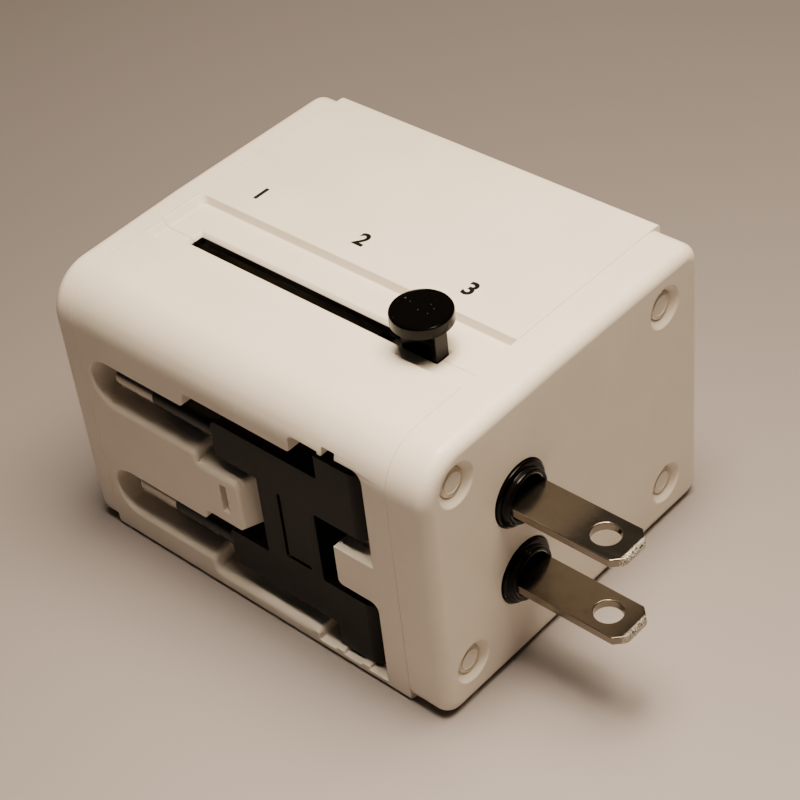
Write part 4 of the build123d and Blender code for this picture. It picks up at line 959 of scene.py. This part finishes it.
def block(name: str, low: Sequence[float], high: Sequence[float]) -> Piece:
    """Make a cutter with flat sides.

    Args:
        name: Its name.
        low: Its lowest corner in millimetres.
        high: Its highest corner in millimetres.

    Returns:
        The cutter.
    """
    shape = bmesh.new()
    bmesh.ops.create_cube(shape, size=1.0)
    middle = (Vector(low) + Vector(high)) / 2
    span = Vector(high) - Vector(low)
    for vert in shape.verts:
        vert.co = (vert.co * span + middle) * MM
    return solid(name, shape)


class Recipe:
    """Geometry Nodes tree with named sizes, baked into one plain mesh."""

    def __init__(self, name: str, sizes: dict[str, float]) -> None:
        """Start the tree and its inputs.

        Args:
            name: Name of the tree and of the piece.
            sizes: Sizes in millimetres by their names.
        """
        self.name = name
        self.sizes = sizes
        self.tree = bpy.data.node_groups.new(name, "GeometryNodeTree")
        face = self.tree.interface
        self.keys = {
            label: face.new_socket(label, in_out="INPUT", socket_type="NodeSocketFloat").identifier
            for label in sizes
        }
        face.new_socket("Geometry", in_out="OUTPUT", socket_type="NodeSocketGeometry")
        self.given = self.tree.nodes.new("NodeGroupInput")
        self.result = self.tree.nodes.new("NodeGroupOutput")

    def node(
        self,
        kind: str,
        inputs: dict[Union[int, str], Any],
        output: Union[int, str] = 0,
        settings: Optional[dict[str, Any]] = None,
    ) -> Socket:
        """Add a node.

        Args:
            kind: Blender's name of the node type.
            inputs: Values, sizes by name, or sockets of other nodes, by input.
            output: Number or name of the output that is wanted.
            settings: Properties that are set first.

        Returns:
            The node's output.
        """
        made = self.tree.nodes.new(kind)
        for name, value in (settings or {}).items():
            setattr(made, name, value)
        for key, value in inputs.items():
            if isinstance(value, str) and value in self.sizes:
                value = self.given.outputs[value]
            if isinstance(value, Socket):
                self.tree.links.new(value, made.inputs[key])
            else:
                made.inputs[key].default_value = value
        return made.outputs[output]

    def vector(self, x: Any, y: Any, z: Any) -> Socket:
        """Vector of three values or sizes."""
        return self.node("ShaderNodeCombineXYZ", {0: x, 1: y, 2: z})

    def disc(self, radius: str, depth: str, steps: int = 64) -> Socket:
        """Closed round disc about the Z axis."""
        values = {"Vertices": steps, "Radius": radius, "Depth": depth}
        return self.node("GeometryNodeMeshCylinder", values)

    def moved(self, part: Socket, z: Any) -> Socket:
        """Part moved along Z."""
        return self.node("GeometryNodeTransform", {0: part, "Translation": self.vector(0.0, 0.0, z)})

    def top_drawn(self, part: Socket, height: Any, width: float) -> Socket:
        """Draw the upward face out or in, and scale it.

        Args:
            part: Mesh to change.
            height: Distance, negative for inward.
            width: Factor for the face's width.

        Returns:
            The changed mesh.
        """
        normal = self.node("GeometryNodeInputNormal", {})
        rise = self.node("ShaderNodeSeparateXYZ", {0: normal}, 2)
        spot = self.node("ShaderNodeSeparateXYZ", {0: self.node("GeometryNodeInputPosition", {})}, 2)
        upper = self.node("ShaderNodeMath", {0: spot, 1: 0.0}, 0, {"operation": "GREATER_THAN"})
        flat = self.node("ShaderNodeMath", {0: rise, 1: 0.99}, 0, {"operation": "GREATER_THAN"})
        both = self.node("ShaderNodeMath", {0: upper, 1: flat}, 0, {"operation": "MULTIPLY"})
        values = {0: part, "Selection": both, "Offset Scale": height}
        drawn = self.node("GeometryNodeExtrudeMesh", values)
        values = {0: drawn, "Selection": drawn.node.outputs["Top"], "Scale": width}
        return self.node("GeometryNodeScaleElements", values)

    def joined(self, parts: Sequence[Socket]) -> Socket:
        """Join several parts.

        Args:
            parts: The parts.

        Returns:
            One geometry that holds them all.
        """
        whole = self.node("GeometryNodeJoinGeometry", {0: parts[0]})
        for part in parts[1:]:
            self.tree.links.new(part, whole.node.inputs[0])
        return whole

    def at_corners(self, part: Socket) -> Socket:
        """Repeat a part.

        Args:
            part: The part, which faces along Z.

        Returns:
            The part at the four corners of a rectangle, facing along X.
        """
        values = {"Size X": "Rows apart", "Size Y": "Columns apart", "Vertices X": 2, "Vertices Y": 2}
        grid = self.node("GeometryNodeMeshGrid", values)
        spread = self.node("GeometryNodeInstanceOnPoints", {"Points": grid, "Instance": part})
        place = self.vector("Face", "Middle Y", "Middle Z")
        turn = (0.0, math.radians(90.0), 0.0)
        values = {0: spread, "Translation": place, "Rotation": turn}
        return self.node("GeometryNodeTransform", values)

    def bake(self, part: Socket, finish: Finishes) -> Piece:
        """Run the tree.

        Args:
            part: Geometry of the whole piece.
            finish: Its finish.

        Returns:
            The piece as a plain mesh.
        """
        whole = self.node("GeometryNodeRealizeInstances", {0: part})
        material = finish.value.material()
        painted = self.node("GeometryNodeSetMaterial", {0: whole, "Material": material})
        self.tree.links.new(painted, self.result.inputs[0])
        holder = new_object(self.name, bpy.data.meshes.new(self.name + "_start"))
        modifier = holder.modifiers.new("recipe", "NODES")
        modifier.node_group = self.tree
        for label, value in self.sizes.items():
            modifier[self.keys[label]] = value * MM
        return baked(holder, self.name)


def carved(piece: Piece, cutter: Piece) -> Piece:
    """Take a closed shape away from a piece.

    Args:
        piece: Piece to cut; it is replaced.
        cutter: Shape to take away; it is removed.

    Returns:
        The piece that is left.
    """
    cut = piece.modifiers.new("cut", "BOOLEAN")
    cut.operation = "DIFFERENCE"
    cut.solver = "EXACT"
    cut.object = cutter
    left = baked(piece, piece.name)
    bpy.data.batch_remove((cutter, cutter.data))
    return left


@dataclass
class Housing(SubAssembly):
    """White case: two shells, two end caps, screw plugs, and the numbers beside the slot."""

    title: str = "housing"
    edge: float = 0.14
    number_size: float = 3.5
    number_growth: float = 0.12
    number_thickness: float = 0.01
    numbers: tuple[tuple[str, float], ...] = (("1", -20.6), ("2", -2.7), ("3", 15.0))
    numbers_y: float = 2.2
    top: float = 41.2
    screw_grid: tuple[tuple[str, float], ...] = (
        ("Rows apart", 29.0),
        ("Columns apart", 39.2),
        ("Middle Y", -1.0),
        ("Middle Z", 20.9),
    )

    def build(self) -> None:
        """Round the case's edges, close the screw holes and print the numbers."""
        for node in ("front_shell", "back_shell", "plug_end_cap", "rect_pin_end_cap"):
            rule = sharp_edges(self.edge)
            cutters: list[Piece] = []
            if node == "front_shell":
                rule = away_from_lips(rule)
                cutters = [lip.cutter() for lip in pocket_lips()]
            moves = RECESS_MOVES if node.endswith("shell") else ()
            piece = refined(node, node + "_fine", rule, 2, cutters, moves)
            self.add(smooth(piece), "case", Finishes.CASE, "case_plastic", [node])
        self.close_screws()
        self.drive_screws()
        for number, x in self.numbers:
            self.print_number(number, x)

    def close_screws(self) -> None:
        """Make the four dished plugs that hide the screws."""
        sizes = {"Radius": 1.9, "Depth": 1.1, "Edge": 0.2, "Dish": -0.12, "Face": 30.35}
        recipe = Recipe("screw_plugs_fine", {**sizes, **dict(self.screw_grid)})
        plug = recipe.disc("Radius", "Depth")
        plug = recipe.top_drawn(plug, "Edge", 0.93)
        plug = recipe.top_drawn(plug, 0.0, 0.78)
        plug = recipe.top_drawn(plug, "Dish", 0.94)
        piece = recipe.bake(recipe.at_corners(plug), Finishes.PLUG)
        self.add(smooth(piece, 30.0), "case", Finishes.PLUG, "plug_plastic", ["screw_plugs"])

    def drive_screws(self) -> None:
        """Make the four threaded screws under the plugs."""
        sizes = {
            "Head radius": 1.85,
            "Head height": 1.2,
            "Shank radius": 0.92,
            "Shank length": 5.0,
            "Shank middle": -3.1,
            "Slot length": 2.6,
            "Slot width": 0.6,
            "Slot depth": 0.5,
            "Slot middle": 0.5,
            "Tip radius": 0.15,
            "Tip length": 0.6,
            "Tip middle": -6.2,
            "Thread depth": 0.26,
            "Thread start": -5.5,
            "Thread length": 4.6,
            "Face": 29.1,
        }
        recipe = Recipe("case_screws_fine", {**sizes, **dict(self.screw_grid)})
        head = recipe.disc("Head radius", "Head height")
        size = recipe.vector("Slot length", "Slot width", "Slot depth")
        slot = recipe.moved(recipe.node("GeometryNodeMeshCube", {"Size": size}), "Slot middle")
        head = recipe.node("GeometryNodeMeshBoolean", {0: head, 1: slot}, 0, {"operation": "DIFFERENCE"})
        shank = recipe.moved(recipe.disc("Shank radius", "Shank length", 32), "Shank middle")
        values = {
            "Vertices": 32,
            "Radius Top": "Shank radius",
            "Radius Bottom": "Tip radius",
            "Depth": "Tip length",
        }
        tip = recipe.moved(recipe.node("GeometryNodeMeshCone", values), "Tip middle")
        values = {
            "Resolution": 24,
            "Rotations": 7.0,
            "Start Radius": "Shank radius",
            "End Radius": "Shank radius",
            "Height": "Thread length",
        }
        line = recipe.node("GeometryNodeCurveSpiral", values)
        ridge = recipe.node("GeometryNodeCurvePrimitiveCircle", {"Resolution": 3, "Radius": "Thread depth"})
        values = {"Curve": line, "Profile Curve": ridge, "Fill Caps": True}
        thread = recipe.moved(recipe.node("GeometryNodeCurveToMesh", values), "Thread start")
        screw = recipe.joined([head, shank, tip, thread])
        piece = recipe.bake(recipe.at_corners(screw), Finishes.STEEL)
        self.add(smooth(piece, 30.0), "case", Finishes.STEEL, "steel", ["case_screws"])

    def print_number(self, number: str, x: float) -> None:
        """Print one number on the flat panel, read from the front.

        Args:
            number: The digit.
            x: Place of its middle in millimetres.
        """
        name = "number_" + number
        curve = bpy.data.curves.new(name, "FONT")
        curve.body = number
        curve.size = self.number_size * MM
        curve.align_x = "CENTER"
        curve.align_y = "CENTER"
        curve.extrude = self.number_thickness * MM
        curve.offset = self.number_growth * MM
        piece = baked(new_object(name + "_text", curve), name)
        piece.data.transform(shift((x, self.numbers_y, self.top)))
        self.add(piece, "case", Finishes.PRINT, "black_satin")


@dataclass
class Slider(SubAssembly):
    """Knob with its stem, carriage, wipers and the rectangular pins."""

    title: str = "slider"
    kept: Kept = (
        (Finishes.CARRIAGE, ("plug_carriage", "carriage_lid")),
        (Finishes.STEEL, ("carriage_screws", "detent_leaf")),
        (Finishes.SHEET_BRASS, ("wipers",)),
        (Finishes.NICKEL, ("rect_line_pin", "rect_neutral_pin")),
        (Finishes.SLEEVE, ("rect_pin_sleeves",)),
        (Finishes.GLOSS_BLACK, ("rect_earth_pin",)),
    )
    edge: float = 0.12
    knob_top: float = 46.22
    pips: tuple[Span, ...] = ((15.2, -8.3), (17.0, -9.0), (18.4, -8.9), (17.6, -7.4), (18.4, -7.8))
    pip: tuple[Span, ...] = ((0.2, -0.05), (0.2, 0.0), (0.12, 0.06), (0.0, 0.08))

    def build(self) -> None:
        """Round the knob's edges, set pips on it and dress the rest."""
        rule = sharp_edges(self.edge, 50.0)
        knob = refined("slider_knob", "slider_knob_fine", rule, moves=KNOB_MOVES)
        self.add(smooth(knob), "slider", Finishes.GLOSS_BLACK, "black_gloss", ["slider_knob"])
        for number, (x, y) in enumerate(self.pips):
            pip = revolved("knob_pip_%d" % number, self.pip, 16)
            pip.data.transform(shift((x, y, self.knob_top)))
            self.add(smooth(pip, 60.0), "slider", Finishes.GLOSS_BLACK, "black_gloss")
        self.dress()


@dataclass
class FlatBlades(SubAssembly):
    """Two flat blades in their round rotors."""

    title: str = "flat blades"
    edge: float = 0.13
    rotor: tuple[Spot, ...] = (
        (0.0, 15.3, 0.0),
        (4.7, 15.3, 0.15),
        (4.7, 16.8, 0.15),
        (3.8, 16.8, 0.0),
        (3.8, 28.9, 0.0),
        (4.4, 29.0, 0.0),
        (4.4, 32.1, 0.3),
        (3.72, 32.15, 0.12),
        (3.66, 33.0, 0.3),
        (3.0, 32.95, 0.3),
        (2.7, 30.7, 0.3),
        (0.0, 30.6, 0.0),
    )
    axis_y: float = -10.1
    levels: tuple[tuple[str, float], ...] = (("lower", 13.55), ("upper", 26.25))
    slot_back: float = 16.55
    slot_end: float = 40.0
    slot_half_width: float = 3.2
    slot_half_height: float = 0.62

    def build(self) -> None:
        """Round the blades' edges and turn the rotors."""
        quarter = Matrix.Rotation(math.radians(90.0), 4, "Y")
        for level, z in self.levels:
            body = level + "_blade_rotor"
            blade = refined(level + "_blade", level + "_blade_fine", sharp_edges(self.edge, 20.0), 3)
            self.add(smooth(blade, 50.0), body, Finishes.BLADE, "nickel_plate", [level + "_blade"])
            rotor = revolved(level + "_rotor_fine", eased(self.rotor))
            rotor.data.transform(shift((0.0, self.axis_y, z)) @ quarter)
            low = (self.slot_back, self.axis_y - self.slot_half_width, z - self.slot_half_height)
            high = (self.slot_end, self.axis_y + self.slot_half_width, z + self.slot_half_height)
            rotor = carved(rotor, block("blade_slot", low, high))
            self.add(smooth(rotor), body, Finishes.GLOSS_BLACK, "black_gloss", [level + "_rotor"])


@dataclass
class RoundPinPlug(SubAssembly):
    """Folding bracket with its two sleeved round pins."""

    title: str = "round-pin plug"
    kept: Kept = (
        (Finishes.NICKEL, ("lower_round_pin", "upper_round_pin")),
        (Finishes.SLEEVE, ("round_pin_sleeves",)),
        (Finishes.STEEL, ("bracket_hinge_pin",)),
        (Finishes.SHEET_BRASS, ("round_pin_contacts",)),
    )
    edge: float = 0.12

    def build(self) -> None:
        """Round the bracket's edges, and dress the pins and the hinge."""
        node = "round_pin_bracket"
        bracket = refined(node, node + "_fine", sharp_edges(self.edge))
        self.add(smooth(bracket), "round_pin_plug", Finishes.SATIN_BLACK, "black_satin", [node])
        self.dress()


@dataclass
class Inside(SubAssembly):
    """Everything behind the case: outlet, ports, boards, fuse and leads."""

    title: str = "inside"
    kept: Kept = (
        (Finishes.FRAME, ("inner_frame",)),
        (Finishes.OUTLET, ("socket_plate",)),
        (Finishes.SHEET_BRASS, ("line_rail", "neutral_rail", "fuse_clips")),
        (Finishes.SHEET_BRASS, ("socket_contact_line", "socket_contact_neutral", "socket_contact_earth")),
        (Finishes.BOARD, ("usb_board", "power_board")),
        (Finishes.TIN, ("usb_port_shells",)),
        (Finishes.TONGUE, ("usb_port_tongues",)),
        (Finishes.GOLD, ("usb_contacts",)),
        (Finishes.FERRITE, ("transformer_core",)),
        (Finishes.TAPE, ("transformer_winding",)),
        (Finishes.CAN, ("capacitors",)),
        (Finishes.GLASS, ("fuse_tube",)),
        (Finishes.NICKEL, ("fuse_caps",)),
        (Finishes.LEAD_RED, ("usb_leads",)),
        (Finishes.LEAD_BLACK, ("supply_leads",)),
    )


@dataclass(frozen=True)
class Lamp:
    """Square soft light: lengths in millimetres, power in watts, the beam's full angle in degrees."""

    name: str
    spot: Spot
    size: float
    power: float
    colour: Colour
    aim: Spot = (0.0, 0.0, 15.0)
    beam: float = 180.0

    def build(self) -> None:
        """Hang the lamp and turn it to its aim."""
        data = bpy.data.lights.new(self.name, "AREA")
        data.shape = "SQUARE"
        data.size = self.size * MM
        data.energy = self.power
        data.color = self.colour
        data.spread = math.radians(self.beam)
        lamp = new_object(self.name, data)
        place = Vector(self.spot) * MM
        way = Vector(self.aim) * MM - place
        lamp.rotation_euler = way.to_track_quat("-Z", "Y").to_euler()
        lamp.location = place


@dataclass
class Studio:
    """Pale table, soft lights and the camera."""

    lens: float = 90.4
    eye: Spot = (146.45, -138.60, 187.04)
    forward: Spot = (-0.5504, 0.5318, -0.6436)
    right: Spot = (0.7446, 0.6614, -0.0901)
    table_half: float = 1400.0
    glow_colour: Colour = (0.75, 0.85, 1.0)
    glow_strength: float = 0.015
    lamps: tuple[Lamp, ...] = (
        Lamp("overhead", (50.0, 32.0, 300.0), 170.0, 1.85, (1.0, 0.83, 0.62)),
        Lamp("pool", (30.0, -30.0, 400.0), 120.0, 0.24, (1.0, 0.84, 0.68), (100.0, -75.0, 0.0), 50.0),
    )

    def build(self) -> None:
        """Set up table, lights and camera."""
        self.table()
        self.lights()
        self.camera()

    def table(self) -> None:
        """Make the table and its finish."""
        shape = bmesh.new()
        bmesh.ops.create_grid(shape, x_segments=8, y_segments=8, size=self.table_half * MM)
        table = solid("table", shape)
        table.data.materials.append(Finishes.TABLE.value.material())
        table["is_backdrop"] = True

    def lights(self) -> None:
        """Add the lamp overhead, a wide pool on the table and the room's faint cool glow."""
        for lamp in self.lamps:
            lamp.build()
        world = bpy.data.worlds.new("room")
        world.use_nodes = True
        glow = world.node_tree.nodes["Background"]
        glow.inputs[0].default_value = (*self.glow_colour, 1.0)
        glow.inputs[1].default_value = self.glow_strength
        bpy.context.scene.world = world

    def camera(self) -> None:
        """Place the camera where the photo was taken from."""
        data = bpy.data.cameras.new("camera")
        data.lens = self.lens
        data.sensor_width = 36.0
        data.clip_start = 0.01
        camera = new_object("camera", data)
        back = -Vector(self.forward).normalized()
        side = Vector(self.right)
        side = (side - back * side.dot(back)).normalized()
        up = back.cross(side)
        turn = Matrix((side, up, back)).transposed().to_4x4()
        camera.matrix_world = shift(self.eye) @ turn
        bpy.context.scene.camera = camera


def corners() -> list[list[float]]:
    """Lowest and highest corner of the whole object as plain lists."""
    return [[float(value) for value in corner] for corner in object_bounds()]


def main() -> None:
    """Load the frame, build and log every sub-assembly, and set up the studio."""
    logging.basicConfig(level=logging.INFO, format="%(message)s")
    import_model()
    for part in (Housing(), Slider(), FlatBlades(), RoundPinPlug(), Inside()):
        part.build()
        part.report()
    Studio().build()


if __name__ == "__main__":
    main()
